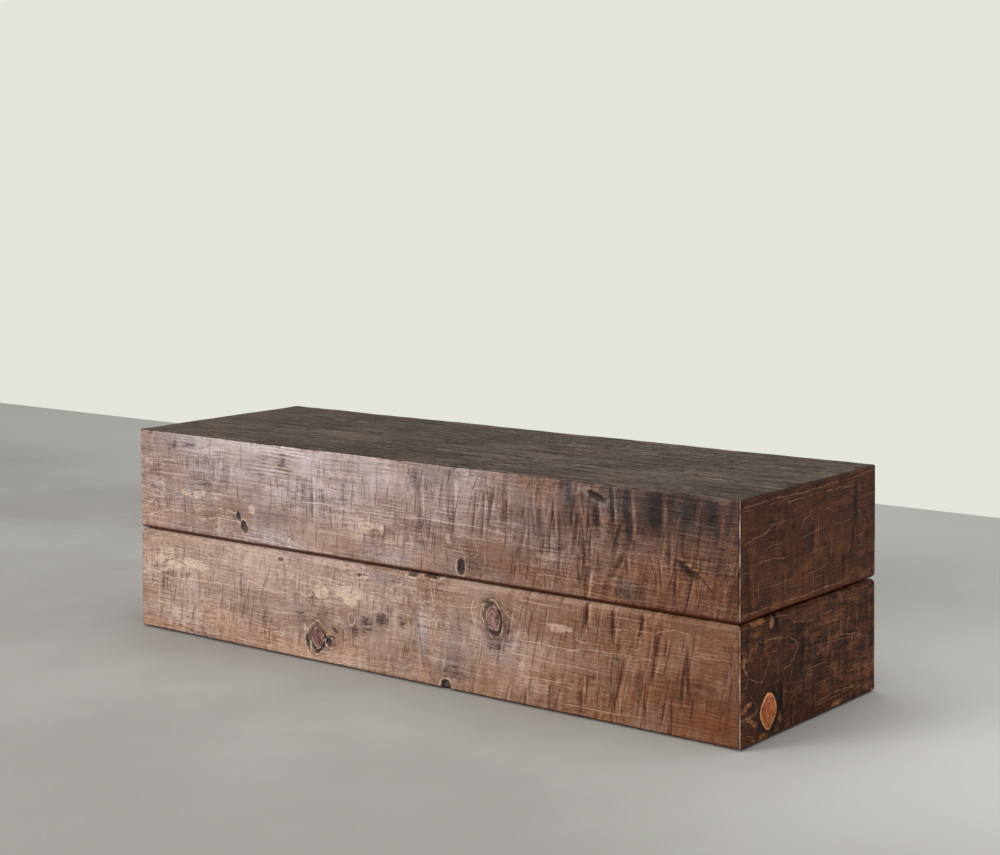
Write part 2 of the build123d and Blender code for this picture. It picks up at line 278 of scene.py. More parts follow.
def make_saw_marks():
    """Saw marks: drawn lines and gouges, and many small ticks and soft streaks from noise."""
    tree, graph, given, give = new_effect(
        "saw_marks",
        [("Place", None), ("Dark Offset", far_away), ("Dark Width", 0.0), ("Light Offset", far_away),
         ("Light Width", 0.0), ("Gouge", 0.0), ("Gouge Lip", 0.0), ("Lean", 0.1), ("Busy", 0.5),
         ("Rim Distance", 1.0)],
        ["Dark", "Light", "Shade", "Lit Lip", "Tick", "Nick", "Streak", "Edge Nick"],
    )
    place, lean = given["Place"], given["Lean"]
    for label in ("Dark", "Light"):
        give(label, thin_line(graph, place, given[label + " Offset"], given[label + " Width"]))
    patchy = graph.step(graph.noise(place, (130, 34, 1), 3), 0.3, 0.6, 0.3, 1.0)
    give("Shade", graph.times(given["Gouge"], patchy))
    give("Lit Lip", graph.times(given["Gouge Lip"], patchy))

    here = graph.step(graph.noise(place, (11, 13, 1), 3), 0.42, 0.58, 0.12, 1.0)
    busy_here = graph.times(here, given["Busy"])
    back_lean = graph.times_plus(lean, -0.8, -0.04)
    forward = graph.step(leaning_noise(graph, place, lean, 3.1, (140, 17, 1), 2), 0.6, 0.67)
    backward = graph.step(leaning_noise(graph, place, back_lean, 5.3, (170, 22, 1), 2), 0.61, 0.68)
    give("Tick", graph.times(graph.math("MAXIMUM", forward, backward), busy_here))
    pale = graph.step(leaning_noise(graph, place, lean, 9.4, (170, 16, 1), 2), 0.61, 0.7)
    give("Nick", graph.times(pale, busy_here))
    streak = graph.centred(leaning_noise(graph, place, lean, 7.7, (85, 11, 1), 3))
    give("Streak", graph.times(streak, given["Busy"]))
    nick = graph.step(leaning_noise(graph, place, lean, 11.9, (90, 9, 1), 3), 0.53, 0.62)
    reach = graph.times_plus(graph.noise(place, (60, 60, 1)), 22 * mm, given["Rim Distance"])
    give("Edge Nick", graph.times(nick, graph.step(reach, 12 * mm, 20 * mm, 1.0, 0.0)))
    return tree


def make_knot_look():
    """Heart, rings, radial cracks, torn rim and pale halo of sound knots, and the inside of open pits with a
    painted highlight on their rim.
    """
    tree, graph, given, give = new_effect(
        "knot_look",
        [("Place", None), ("Knot Place", (far_away,) * 3), ("Pit Distance", 1.0), ("Outer Halo", 1.0)],
        ["Heart", "Rim", "Halo", "Ring", "Outer Ring", "Crack", "Bark", "Near", "Pit", "Pit Highlight"],
    )
    place = given["Place"]
    x, y, number = graph.separate(given["Knot Place"])
    plain_radius = graph.length_of(x, y)
    safe_radius = graph.math("MAXIMUM", plain_radius, 0.05)
    aside = graph.combine(graph.math("DIVIDE", x, safe_radius), graph.math("DIVIDE", y, safe_radius), number)
    coarse_share = graph.times_plus(given["Outer Halo"], 0.3, 0.2)
    coarse = graph.centred(graph.noise(place, (48, 48, 1)), coarse_share)
    fine = graph.centred(graph.noise(place, (210, 210, 1), 3, 0.7), 0.2)
    radius = graph.plus(graph.plus(plain_radius, coarse), fine)
    heart = graph.step(radius, 0.8, 0.9, 1.0, 0.0)
    give("Heart", heart)
    give("Near", graph.step(radius, 0.8, 2.3, 1.0, 0.0))

    low_right = graph.math("DIVIDE", graph.minus(x, y), safe_radius)
    uneven_side = graph.times_plus(graph.noise(aside, (2.2, 2.2, 5.0), 1), 2.4, low_right)
    thick = graph.times_plus(graph.step(uneven_side, 1.0, 2.0), 0.17, 0.07)
    rim_middle = graph.times_plus(thick, 0.5, 0.9)
    off_rim = graph.minus(graph.math("ABSOLUTE", graph.minus(radius, rim_middle)), thick)
    give("Rim", graph.step(off_rim, -0.1, 0.06, 1.0, 0.0))
    halo_here = graph.step(graph.noise(place, (75, 75, 1)), 0.4, 0.56)
    outer_halo = graph.times(graph.band(radius, 1.34, 0.01, 0.07), given["Outer Halo"])
    halo = graph.math("MAXIMUM", graph.band(radius, 0.86, 0.02, 0.07), outer_halo)
    clean_edge = graph.minus(1.0, given["Outer Halo"])
    give("Halo", graph.times(halo, graph.math("MAXIMUM", halo_here, clean_edge)))

    wobble = graph.times_plus(graph.noise(place, (60, 60, 1)), 0.6, plain_radius)
    rings = graph.step(graph.math("SINE", graph.times(wobble, 22.0)), 0.2, 0.95)
    give("Ring", graph.times(rings, heart))
    outer = graph.times(graph.step(radius, 0.95, 1.1), graph.step(radius, 1.3, 2.3, 1.0, 0.0))
    give("Outer Ring", graph.times(rings, outer))
    ray = graph.noise(graph.vector("ADD", graph.vector("MULTIPLY", aside, (7, 7, 7)), place))
    ray_span = graph.times(graph.step(plain_radius, 0.05, 0.3), graph.step(radius, 0.9, 1.3, 1.0, 0.0))
    give("Crack", graph.times(graph.step(ray, 0.58, 0.66), ray_span))
    torn = graph.step(graph.noise(place, (150, 80, 1), 3, 0.7), 0.52, 0.6)
    close_by = graph.times(graph.step(radius, 0.9, 1.9, 1.0, 0.0), graph.step(radius, 0.85, 0.95))
    give("Bark", graph.times(torn, close_by))

    pit_edge = graph.centred(graph.noise(place, (110, 110, 1), 4, 0.7), 11 * mm)
    pit_distance = graph.plus(given["Pit Distance"], pit_edge)
    give("Pit", graph.step(pit_distance, -1.8 * mm, 0.8 * mm, 1.0, 0.0))
    # A painted highlight on the rim of each pit.
    give("Pit Highlight", graph.times(graph.band(pit_distance, 2.6 * mm, 0.4 * mm, 1.8 * mm), halo_here))
    return tree


def make_pale_marks():
    """Pale patches and thin pale outlines with uneven, broken edges."""
    tree, graph, given, give = new_effect(
        "pale_marks",
        [("Place", None), ("Patch Distance", 1.0), ("Line Offset", far_away), ("Line Width", 0.0)],
        ["Fill", "Outline"],
    )
    place = given["Place"]
    coarse = graph.centred(graph.noise(place, (60, 90, 1), 4, 0.6), 17 * mm)
    distance = graph.plus(given["Patch Distance"], coarse)
    inside = graph.step(distance, -1.8 * mm, 0.2 * mm, 1.0, 0.0)
    grainy = graph.step(graph.noise(place, (90, 190, 1), 4, 0.7), 0.4, 0.56, 0.25, 1.0)
    give("Fill", graph.times(inside, grainy))
    rim = graph.times(graph.band(distance, 0.0, 0.6 * mm, 1.6 * mm), 0.6)
    line = thin_line(graph, place, given["Line Offset"], given["Line Width"], 13 * mm)
    broken = graph.step(graph.noise(place, (46, 46, 1), 4, 0.75), 0.34, 0.5, 0.4, 1.0)
    give("Outline", graph.times(graph.math("MAXIMUM", line, rim), broken))
    return tree


def make_arris_lines():
    """A thin line along an arris, and a darker one beside it."""
    tree, graph, given, give = new_effect(
        "arris_lines", [("Place", None), ("Edge Distance", 1.0), ("Width", 2.4 * mm)], ["Arris Line", "Beside"]
    )
    uneven = graph.times_plus(graph.noise(given["Place"], (45, 45, 1), 3, 0.6), 1.2, 0.4)
    past = graph.minus(given["Edge Distance"], graph.times(uneven, given["Width"]))
    give("Arris Line", graph.step(past, -0.4 * mm, 0.6 * mm, 1.0, 0.0))
    give("Beside", graph.band(past, 2.0 * mm, 0.6 * mm, 1.8 * mm))
    return tree


growth_grain = make_growth_grain()
saw_marks = make_saw_marks()
knot_look = make_knot_look()
pale_marks = make_pale_marks()
arris_lines = make_arris_lines()


def new_material(name):
    """A material with an empty tree apart from its shader and output."""
    material = bpy.data.materials.new(name)
    material.use_nodes = True
    graph = Graph(material.node_tree)
    return material, graph, material.node_tree.nodes["Principled BSDF"]


def add_bump(graph, shader, height_value, distance):
    bump = graph.add("ShaderNodeBump")
    graph.feed(bump.inputs["Height"], height_value)
    bump.inputs["Distance"].default_value = distance
    graph.feed(shader.inputs["Normal"], bump.outputs[0])


# The stain of the boards, whose marks are stored on each board as attributes.
golden_tint = colour(255, 222, 184)
# Tint of the painted sheen: a grey reflection of soft light, laid into the colour.
painted_sheen_tint = colour(214, 202, 208)
pale_on_reddish = colour(188, 136, 102)
patch_on_reddish = colour(208, 136, 80)
halo_on_reddish = colour(252, 178, 106)
rim_dark = colour(46, 30, 27)
ring_dark = colour(70, 42, 34)
pit_dark = colour(30, 22, 20)
worn_top = colour(60, 35, 28)
# Pairs of tints: on the other boards and on the reddish end, for what lies round knots and for their hearts.
near_tints = colour(84, 64, 58), colour(34, 20, 14)
heart_dark_tints = colour(106, 74, 68), colour(174, 88, 54)
heart_light_tints = colour(158, 120, 114), colour(232, 138, 92)
# Pairs of tints: where the board is dark and light for pits, and dark and pale for the lines along arrises.
pit_pale_tints = colour(50, 38, 34), colour(100, 87, 82)
arris_line_tints = colour(70, 42, 35), colour(250, 228, 214)
stains = {
    "side_stain": {
        "stops": ((0.0, colour(40, 24, 18)), (0.28, colour(82, 51, 37)), (0.5, colour(114, 78, 58)),
                  (0.72, colour(142, 111, 93)), (1.0, colour(186, 160, 142))),
        "cool_stops": ((0.0, colour(34, 27, 27)), (0.28, colour(68, 54, 51)), (0.5, colour(104, 87, 83)),
                       (0.72, colour(142, 124, 121)), (1.0, colour(192, 176, 174))),
        "grain": (("Blotch", 0.34), ("Fleck", 0.4), ("Fibre", 0.36), ("Speckle", 0.36)),
        "cream": colour(228, 200, 178),
        "dark": colour(56, 37, 30),
        # Tints in the chamfers, at their edge and deepest in: painted shade in the groove and at the foot.
        "groove": (colour(104, 40, 28), colour(62, 22, 15)),
        "least_lit": 0.16,
        "fineness": 1.0,
        "roughness": 0.45,
        "gloss": 0.09,
    },
    # The top's grey weathered stain is kept darker than the sides partly as painted shade, for the lesser
    # light on the top.
    "top_stain_and_painted_shade": {
        "stops": ((0.0, colour(34, 29, 27)), (0.3, colour(62, 55, 50)), (0.6, colour(96, 87, 79)),
                  (1.0, colour(150, 139, 128))),
        "grain": (("Blotch", 0.1), ("Fleck", 1.0), ("Fibre", 1.3), ("Speckle", 0.6)),
        "cream": colour(164, 152, 138),
        "dark": colour(34, 28, 25),
        # Tints in the seam chamfers, at their edge and deepest in: a dark joint line.
        "groove": (colour(48, 38, 33), colour(28, 22, 19)),
        "least_lit": 0.8,
        "fineness": 0.3,
        "roughness": 0.7,
        "gloss": 0.05,
    },
}
# Each layer of a smudge: where it starts and is whole, its share and its tint.
smudge_layers = (
    (0.0, 0.4, 0.5, colour(170, 160, 166)),
    (0.36, 0.56, 0.75, colour(104, 88, 92)),
)
# Inputs of the saw marks that each board stores under the same names.
drawn_inputs = (
    "dark_offset", "dark_width", "light_offset", "light_width", "gouge", "gouge_lip", "lean", "busy",
    "rim_distance",
)


def board_effects(graph, fineness):
    """The shared effects, each fed with what the board stores."""
    stored = graph.attribute
    place = stored("face_place", "Vector")

    def placed(group, names=(), **values):
        return graph.effect(group, place=place, **{name: stored(name) for name in names}, **values)

    grain = placed(growth_grain, ("swell",), fineness=fineness)
    marks = placed(saw_marks, drawn_inputs)
    outer_halo = graph.minus(1.0, stored("orange"))
    knot_place = stored("knot_place", "Vector")
    knots = placed(knot_look, knot_place=knot_place, pit_distance=stored("pit"), outer_halo=outer_halo)
    pale = placed(pale_marks, ("line_offset", "line_width"), patch_distance=stored("patch"))
    end_arris = placed(arris_lines, edge_distance=stored("edge"))
    top_arris = placed(arris_lines, edge_distance=stored("top_edge"), width=2.3 * mm)
    return grain, marks, knots, pale, end_arris, top_arris


def stain_tone(graph, stain, grain, marks):
    """How light the stain is at each point, from the board's own tone, its grain and its saw marks, with
    painted shade in the gouges, a painted highlight on their lips and painted highlights on raised ridges.
    """
    stored = graph.attribute
    texture = [(grain[part], share) for part, share in stain["grain"]]
    texture = graph.total(texture + [(marks["Streak"], 0.6), (marks["Nick"], 0.3)])
    mottle = graph.total([(grain["Blotch"], 0.43), (grain["Fibre"], -0.18)])
    texture = graph.times_plus(mottle, stored("orange"), texture)
    texture = graph.times(texture, graph.times_plus(grain["Rough"], 0.7, 0.6))
    texture = graph.times(graph.math("SMOOTH_MIN", texture, 0.18, 0.12), stored("contrast"))
    # Painted shade in the gouges and a painted highlight on their lips.
    parts = [(grain["Cloud"], 0.5), (texture, 1.0), (marks["Shade"], -0.6), (marks["Lit Lip"], 0.5)]
    tone = graph.total(parts, stored("tone"))
    # Painted highlights along raised ridges where the board stores a share of them; the ridges are also
    # bumped.
    return graph.times_plus(grain["Raised"], stored("ridge_highlight"), tone)


def stain_colour(graph, stain, grain, tone):
    """The stain's warm, cool and golden tints, and a painted grey sheen with painted glints."""
    stored = graph.attribute
    warm, cool = (graph.ramp(tone, stain[stops]) for stops in ("stops", "cool_stops"))
    cool_here = graph.times(graph.step(grain["Hue"], 0.16, -0.16, 0.6, 1.4), stored("cool"), clamp=True)
    base = graph.mix(cool_here, warm, cool)
    golden = graph.times(graph.step(grain["Hue"], -0.25, 0.12), stored("golden"))
    golden = graph.times_plus(stored("orange"), 0.4, golden)
    base = graph.mix(golden, base, golden_tint, blend="MULTIPLY")
    painted_glint = [(grain["Raised"], 0.4), (grain["Cloud"], 0.5), (grain["Fibre"], 0.6), (grain["Blotch"], 0.4)]
    # Painted sheen: grey glints mixed into the colour where the board stores a share of it.
    painted_sheen = graph.times(stored("coat_and_painted_sheen"), graph.total(painted_glint, 0.24), clamp=True)
    return graph.mix(painted_sheen, base, painted_sheen_tint)


def lay_smudges(graph, base, grain, marks):
    """Darkens what lies under the ragged smudges, more at their cores."""
    smudge = graph.attribute("smudge")
    parts = [(grain["Blotch"], 1.7), (marks["Streak"], 1.6), (grain["Fleck"], 1.2), (smudge, 0.5)]
    ragged = graph.total(parts)
    smudge_here = graph.step(smudge, 0.02, 0.3)
    for low, high, share, tint in smudge_layers:
        mask = graph.times(graph.step(ragged, low, high), smudge_here)
        base = graph.mix(graph.times(mask, share), base, tint, blend="MULTIPLY")
    return base


def lay_saw_marks(graph, base, stain, grain, marks, pale, lit):
    """Specks, contour lines, smudges, saw marks, pale patches and pale outlines."""
    orange, cream, dark = graph.attribute("orange"), stain["cream"], stain["dark"]
    pale_here = graph.times_plus(orange, 0.8, lit)
    pale_tint = graph.mix(orange, cream, pale_on_reddish)
    patch_tint = graph.mix(orange, cream, patch_on_reddish)
    contour = graph.times(grain["Contour"], pale_here)
    base = graph.layers(base, (grain["Speck"], 0.4, dark), (contour, 0.38, pale_tint))
    base = lay_smudges(graph, base, grain, marks)
    return graph.layers(
        base,
        (marks["Tick"], 0.34, dark),
        (graph.times(marks["Light"], pale_here), 0.42, pale_tint),
        (marks["Dark"], graph.times_plus(lit, -0.26, 0.78), dark),
        (marks["Edge Nick"], 0.6, dark),
        (graph.times(pale["Fill"], graph.times_plus(orange, 1.15, lit)), 0.5, patch_tint),
        (graph.times(pale["Outline"], pale_here), 0.7, pale_tint),
    )


def lay_knots(graph, base, stain, grain, knots, lit):
    """Knots with their halo, and open pits with a painted highlight on their rim: knots are orange on the
    reddish end.
    """
    orange, cream = graph.attribute("orange"), stain["cream"]
    heart_dark, heart_light = graph.mix(orange, *heart_dark_tints), graph.mix(orange, *heart_light_tints)
    heart = graph.mix(graph.step(grain["Fleck"], -0.15, 0.15), heart_dark, heart_light)
    halo_share = graph.times_plus(orange, 0.35, 0.6)
    pit_pale = graph.mix(graph.step(lit, 0.6, 1.0), *pit_pale_tints)
    pit_tint = graph.mix(graph.step(grain["Speckle"], -0.12, 0.12), pit_dark, pit_pale)
    return graph.layers(
        base,
        (knots["Near"], 0.42, graph.mix(orange, *near_tints)),
        (knots["Outer Ring"], 0.28, rim_dark),
        (knots["Bark"], 0.7, rim_dark),
        (knots["Heart"], 0.9, heart),
        (knots["Ring"], 0.4, ring_dark),
        (knots["Crack"], 0.6, rim_dark),
        (knots["Rim"], 0.86, rim_dark),
        (knots["Halo"], halo_share, graph.mix(orange, cream, halo_on_reddish)),
        # Painted highlight on the pit rims, less on darker stain.
        (graph.times(knots["Pit Highlight"], lit), 0.55, cream),
        (knots["Pit"], 0.92, pit_tint),
    )


def lay_edges(graph, base, stain, grain, end_arris, top_arris):
    """A dark reddish tint in the groove and at the foot, painted shade that deepens further in, and a dark
    joint line in the seam between the top boards; and a thin line along each arris: pale at the right front
    corner, dark elsewhere.
    """
    arris_lightness, groove = graph.attribute("arris_lightness"), graph.attribute("groove")
    ragged_groove = graph.times(groove, graph.times_plus(grain["Blotch"], 2.5, 1.0))
    arris_line_share = graph.times_plus(arris_lightness, 0.5, 0.45)
    arris_line_tint = graph.mix(graph.step(arris_lightness, 0.2, 0.45), *arris_line_tints)
    return graph.layers(
        base,
        # Dark reddish tint in the chamfers: painted shade in the groove and at the foot, a dark joint in the
        # top seam.
        (graph.step(ragged_groove, 0.1, 0.3), 0.9, graph.mix(groove, *stain["groove"])),
        (top_arris["Arris Line"], 0.85, worn_top),
        (graph.times(end_arris["Beside"], arris_lightness), 0.6, rim_dark),
        (end_arris["Arris Line"], arris_line_share, arris_line_tint),
    )


def stained_board(name):
    """Rough-sawn pine under a dark stain. The top's grey stain is darker partly as painted shade."""
    stain = {"cool_stops": stains[name]["stops"], **stains[name]}
    material, graph, shader = new_material(name)
    grain, marks, knots, pale, end_arris, top_arris = board_effects(graph, stain["fineness"])
    base = stain_colour(graph, stain, grain, stain_tone(graph, stain, grain, marks))
    lit = graph.step(graph.attribute("tone"), 0.45, 0.78, stain["least_lit"], 1.0)
    base = lay_saw_marks(graph, base, stain, grain, marks, pale, lit)
    base = lay_knots(graph, base, stain, grain, knots, lit)
    base = lay_edges(graph, base, stain, grain, end_arris, top_arris)
    graph.feed(shader.inputs["Base Color"], base)
    rough = [(grain["Fleck"], 0.3), (marks["Dark"], 0.2), (marks["Shade"], 0.1)]
    graph.feed(shader.inputs["Roughness"], graph.total(rough, stain["roughness"]))
    # The same share gives a real clear coat, as well as the painted sheen in the colour.
    graph.feed(shader.inputs["Coat Weight"], graph.times(graph.attribute("coat_and_painted_sheen"), 0.6))
    shader.inputs["Coat Roughness"].default_value = 0.42
    shader.inputs["Specular IOR Level"].default_value = stain["gloss"]
    rise = [
        (grain["Fleck"], 1.1), (grain["Fibre"], 0.9), (grain["Speckle"], 0.7), (grain["Raised"], 0.6),
        (grain["Contour"], 0.3), (marks["Tick"], -0.6), (marks["Nick"], 0.4), (marks["Streak"], 0.6),
        (marks["Dark"], -1.0), (marks["Light"], 0.6), (knots["Rim"], -0.9), (knots["Crack"], -0.6),
        (knots["Ring"], -0.25), (knots["Pit"], -1.5), (pale["Outline"], 0.3),
    ]
    add_bump(graph, shader, graph.total(rise), 0.7 * mm)
    return material


side_stain, top_stain_and_painted_shade = (stained_board(name) for name in stains)


# Relief: a tree of geometry nodes sinks hollows, saw marks, pits and knot rims into a flat board blank.
relief_sizes = {
    "Hollow Depth": 1.1 * mm,
    "Hollow Size": 160 * mm,
    "Dent Depth": 0.5 * mm,
    "Dent Size": 34 * mm,
    "Stroke Depth": 0.7 * mm,
    "Pit Depth": 5 * mm,
    "Rim Depth": 1.0 * mm,
}


def named(graph, name, kind="FLOAT"):
    """What the mesh stores under a name, for a geometry tree."""
    node = graph.add("GeometryNodeInputNamedAttribute", data_type=kind)
    node.inputs["Name"].default_value = name
    return node.outputs["Attribute"]


def make_board_relief():
    tree = bpy.data.node_groups.new("board_relief", "GeometryNodeTree")
    tree.interface.new_socket(name="Geometry", in_out="OUTPUT", socket_type="NodeSocketGeometry")
    inputs = {"Geometry": "Geometry", "Inward": "Vector", **dict.fromkeys(relief_sizes, "Float")}
    inputs["Finish"] = "Material"
    for label, kind in inputs.items():
        tree.interface.new_socket(name=label, in_out="INPUT", socket_type="NodeSocket" + kind)
    graph = Graph(tree)
    given = {socket.name: socket for socket in graph.add("NodeGroupInput").outputs}
    place = named(graph, "face_place", "FLOAT_VECTOR")

    def waves(part, squash):
        size = given[part + " Size"]
        stretch = graph.combine(graph.math("DIVIDE", 1.0, size), graph.math("DIVIDE", squash, size), 1.0)
        return graph.step(graph.noise(place, stretch, 1.0), 0.3, 0.7)

    pit = graph.step(named(graph, "pit"), -5 * mm, 1.5 * mm, 1.0, 0.0)
    x, y, _ = graph.separate(named(graph, "knot_place", "FLOAT_VECTOR"))
    rim = graph.band(graph.length_of(x, y), 1.0, 0.06, 0.24)
    shapes = {"Hollow": waves("Hollow", 2.2), "Dent": waves("Dent", 0.7), "Stroke": named(graph, "gouge"),
              "Pit": pit, "Rim": rim}
    total = graph.total([(shape, given[part + " Depth"]) for part, shape in shapes.items()])
    total = graph.times(total, named(graph, "free"))
    sunk = graph.add("ShaderNodeVectorMath", operation="SCALE")
    graph.feed(sunk.inputs[0], given["Inward"])
    graph.feed(sunk.inputs["Scale"], total)
    move = graph.add("GeometryNodeSetPosition")
    graph.feed(move.inputs["Geometry"], given["Geometry"])
    graph.feed(move.inputs["Offset"], sunk.outputs[0])
    whole = graph.fed(graph.add("GeometryNodeRealizeInstances"), move.outputs[0])
    finish = graph.add("GeometryNodeSetMaterial")
    graph.feed(finish.inputs["Geometry"], whole)
    graph.feed(finish.inputs["Material"], given["Finish"])
    graph.feed(graph.add("NodeGroupOutput").inputs[0], finish.outputs[0])
    return tree


board_relief = make_board_relief()


def apply_tree(piece, tree, values):
    """Runs a geometry tree on the piece with the named inputs, and leaves a plain mesh."""
    modifier = piece.modifiers.new("relief", "NODES")
    modifier.node_group = tree
    for item in tree.interface.items_tree:
        if item.item_type == "SOCKET" and item.in_out == "INPUT" and item.name in values:
            modifier[item.identifier] = values[item.name]
    bpy.context.view_layer.update()
    shown = piece.evaluated_get(bpy.context.evaluated_depsgraph_get())
    mesh = bpy.data.meshes.new_from_object(shown)
    piece.modifiers.remove(modifier)
    flat = piece.data
    piece.data = mesh
    bpy.data.meshes.remove(flat)
    mesh.name = piece.name


# Arrises: each waves in and out by its own small amount, and both boards that meet there follow it.
wave_parts = ((0.41, 0.5), (0.173, 0.3), (0.067, 0.2))
# For each arris: a seed, its least and most recess, and how far its end is.
arris_waves = {
    "front_top": (11, 0.5 * mm, 2.6 * mm, half_length),
    "back_top": (12, 0.4 * mm, 1.5 * mm, half_length),
    "right_top": (13, 0.4 * mm, 1.3 * mm, half_depth),
    "left_top": (14, 0.4 * mm, 1.3 * mm, half_depth),
}
upright_arrises = ("front_right", "front_left", "back_right", "back_left")
for seed, upright in enumerate(upright_arrises, 15):
    arris_waves[upright] = (seed, 0.2 * mm, 0.9 * mm, height)


def wave(place, seed):
    """A gentle wave between 0 and 1: each part has a length in metres and a share."""
    generator = np.random.default_rng(seed)
    phases = generator.random(len(wave_parts)) * math.tau
    parts = zip(wave_parts, phases)
    total = sum(share * np.sin(place / length * math.tau + phase) for (length, share), phase in parts)
    return 0.5 + 0.5 * total


def smooth(value):
    value = np.clip(value, 0.0, 1.0)
    return value * value * (3 - 2 * value)


def bell(value):
    return np.exp(-(value**2))


def recess(edge, place):
    """How far an arris lies behind the sharp corner, at a real place along it."""
    if edge is None:
        return np.zeros_like(place)
    seed, least, most, end = arris_waves[edge]
    raw = least + (most - least) * wave(place, seed)
    to_end = end - place if edge in upright_arrises else end - np.abs(place)
    return corner_recess + (raw - corner_recess) * smooth(to_end / corner_run)


# Marks on the faces: their own numbers are in millimetres, and u and v, along the board and up it, in metres.
def near_marks(u, v, marks, reach):
    """For each straight mark: the points near it, their offset to its line and distance to it in metres,
    their share of its length, and the mark's other values."""
    for u0, v0, u1, v1, *rest in marks:
        start = np.array((u0, v0)) * mm
        run = np.array((u1, v1)) * mm - start
        length = math.hypot(*run)
        least, most = np.minimum(start, start + run) - reach, np.maximum(start, start + run) + reach
        near = (u > least[0]) & (u < most[0]) & (v > least[1]) & (v < most[1])
        du, dv = u[near] - start[0], v[near] - start[1]
        share = np.clip((du * run[0] + dv * run[1]) / length**2, 0, 1)
        offset = (du * run[1] - dv * run[0]) / length
        yield near, offset, np.hypot(du - share * run[0], dv - share * run[1]), share, rest


def thin_marks(u, v, marks, tapering=True):
    """Signed offset to the nearest thin mark, and its half width there: below zero where it ends."""
    nearest, offset, width = (np.full(u.shape, value) for value in (line_reach, line_reach, -line_reach))
    for near, side, away, share, (half_width, *_) in near_marks(u, v, marks, line_reach):
        taper = 1.5 * (1 - np.abs(2 * share - 1) ** 2.2) if tapering else 1.0
        beyond = np.sqrt(np.maximum(away**2 - side**2, 0))
        local = half_width * mm * taper - beyond - 2 * np.maximum(np.abs(side) - 1.5 * mm, 0)
        closer = away < nearest[near]
        for values, found in ((nearest, away), (offset, side), (width, local)):
            values[near] = np.where(closer, found, values[near])
    return offset, width


def line_marks(lines, half_width=0.8):
    """Straight marks along drawn lines, each a list of points."""
    return [(*first, *second, half_width) for line in lines for first, second in zip(line, line[1:])]


def gouge_masks(u, v, gouges):
    """How strongly broad soft gouges mark each point, and the lit lip at their right side, from 0 to 1."""
    mask, lip = np.zeros(u.shape), np.zeros(u.shape)
    for near, side, away, share, (half_width, strength) in near_marks(u, v, gouges, gouge_reach):
        along = strength * (1 - 0.7 * np.abs(2 * share - 1) ** 3)
        past_end = np.sqrt(np.maximum(away**2 - side**2, 0))
        from_lip = np.hypot(side + 1.5 * half_width * mm, past_end) / (0.55 * half_width * mm)
        mask[near] = np.maximum(mask[near], along * bell(away / (half_width * mm)))
        lip[near] = np.maximum(lip[near], along * bell(from_lip))
    return mask, lip * (1 - mask)


def oval_place(u, v, oval):
    """Place in an oval's own frame: 1 from its middle to its edge."""
    u0, v0, half_u, half_v, turn = oval
    du, dv = u / mm - u0, v / mm - v0
    c, s = math.cos(math.radians(turn)), math.sin(math.radians(turn))
    return (c * du + s * dv) / half_u, (c * dv - s * du) / half_v


def oval_distance(u, v, ovals):
    nearest = np.full(u.shape, oval_reach)
    for oval in ovals:
        nearest = np.minimum(nearest, (np.hypot(*oval_place(u, v, oval)) - 1) * min(oval[2], oval[3]) * mm)
    return nearest


def knot_frame(u, v, knots):
    """Place in the nearest knot's own frame, with that knot's number."""
    frame_place = np.full((*u.shape, 3), far_away)
    nearest = np.full(u.shape, far_away)
    for number, (*oval, pointed) in enumerate(knots):
        x, y = oval_place(u, v, oval)
        radius = (np.abs(x) ** pointed + np.abs(y) ** pointed) ** (1 / pointed)
        closer = radius < nearest
        stretch = radius / np.maximum(np.hypot(x, y), 1e-6)
        for axis, values in enumerate((x * stretch, y * stretch, 0 * x + number)):
            frame_place[..., axis] = np.where(closer, values, frame_place[..., axis])
        nearest = np.minimum(nearest, radius)
    return frame_place


def smudge_strength(u, v, ovals):
    strength = np.zeros(u.shape)
    for *oval, dark in ovals:
        strength = np.maximum(strength, dark * bell(np.hypot(*oval_place(u, v, (*oval, 0)))))
    return strength


def swell_round(u, v, ovals):
    """How far the grain lines bend away from the middle of each knot."""
    bend = np.zeros(u.shape)
    for u0, v0, half_u, half_v, *_ in ovals:
        du, dv = (u / mm - u0) / (2.6 * half_u), (v / mm - v0) / (1.5 * half_v)
        bend -= 0.9 * half_v * mm * np.tanh(dv * 2) * np.exp(-du * du - dv * dv)
    return bend


def random_marks(seed, count, region, length, lean, *ranges):
    """Seeded saw marks in a region: short near-vertical lines, each with other values from the ranges."""
    draw = np.random.default_rng(seed).uniform
    marks = []
    for _ in range(count):
        u0, v0, size, tilt, *rest = [draw(*span) for span in (region[:2], region[2:], length, lean, *ranges)]
        marks.append((u0, v0, u0 - tilt * size, v0 - size, *rest))
    return marks
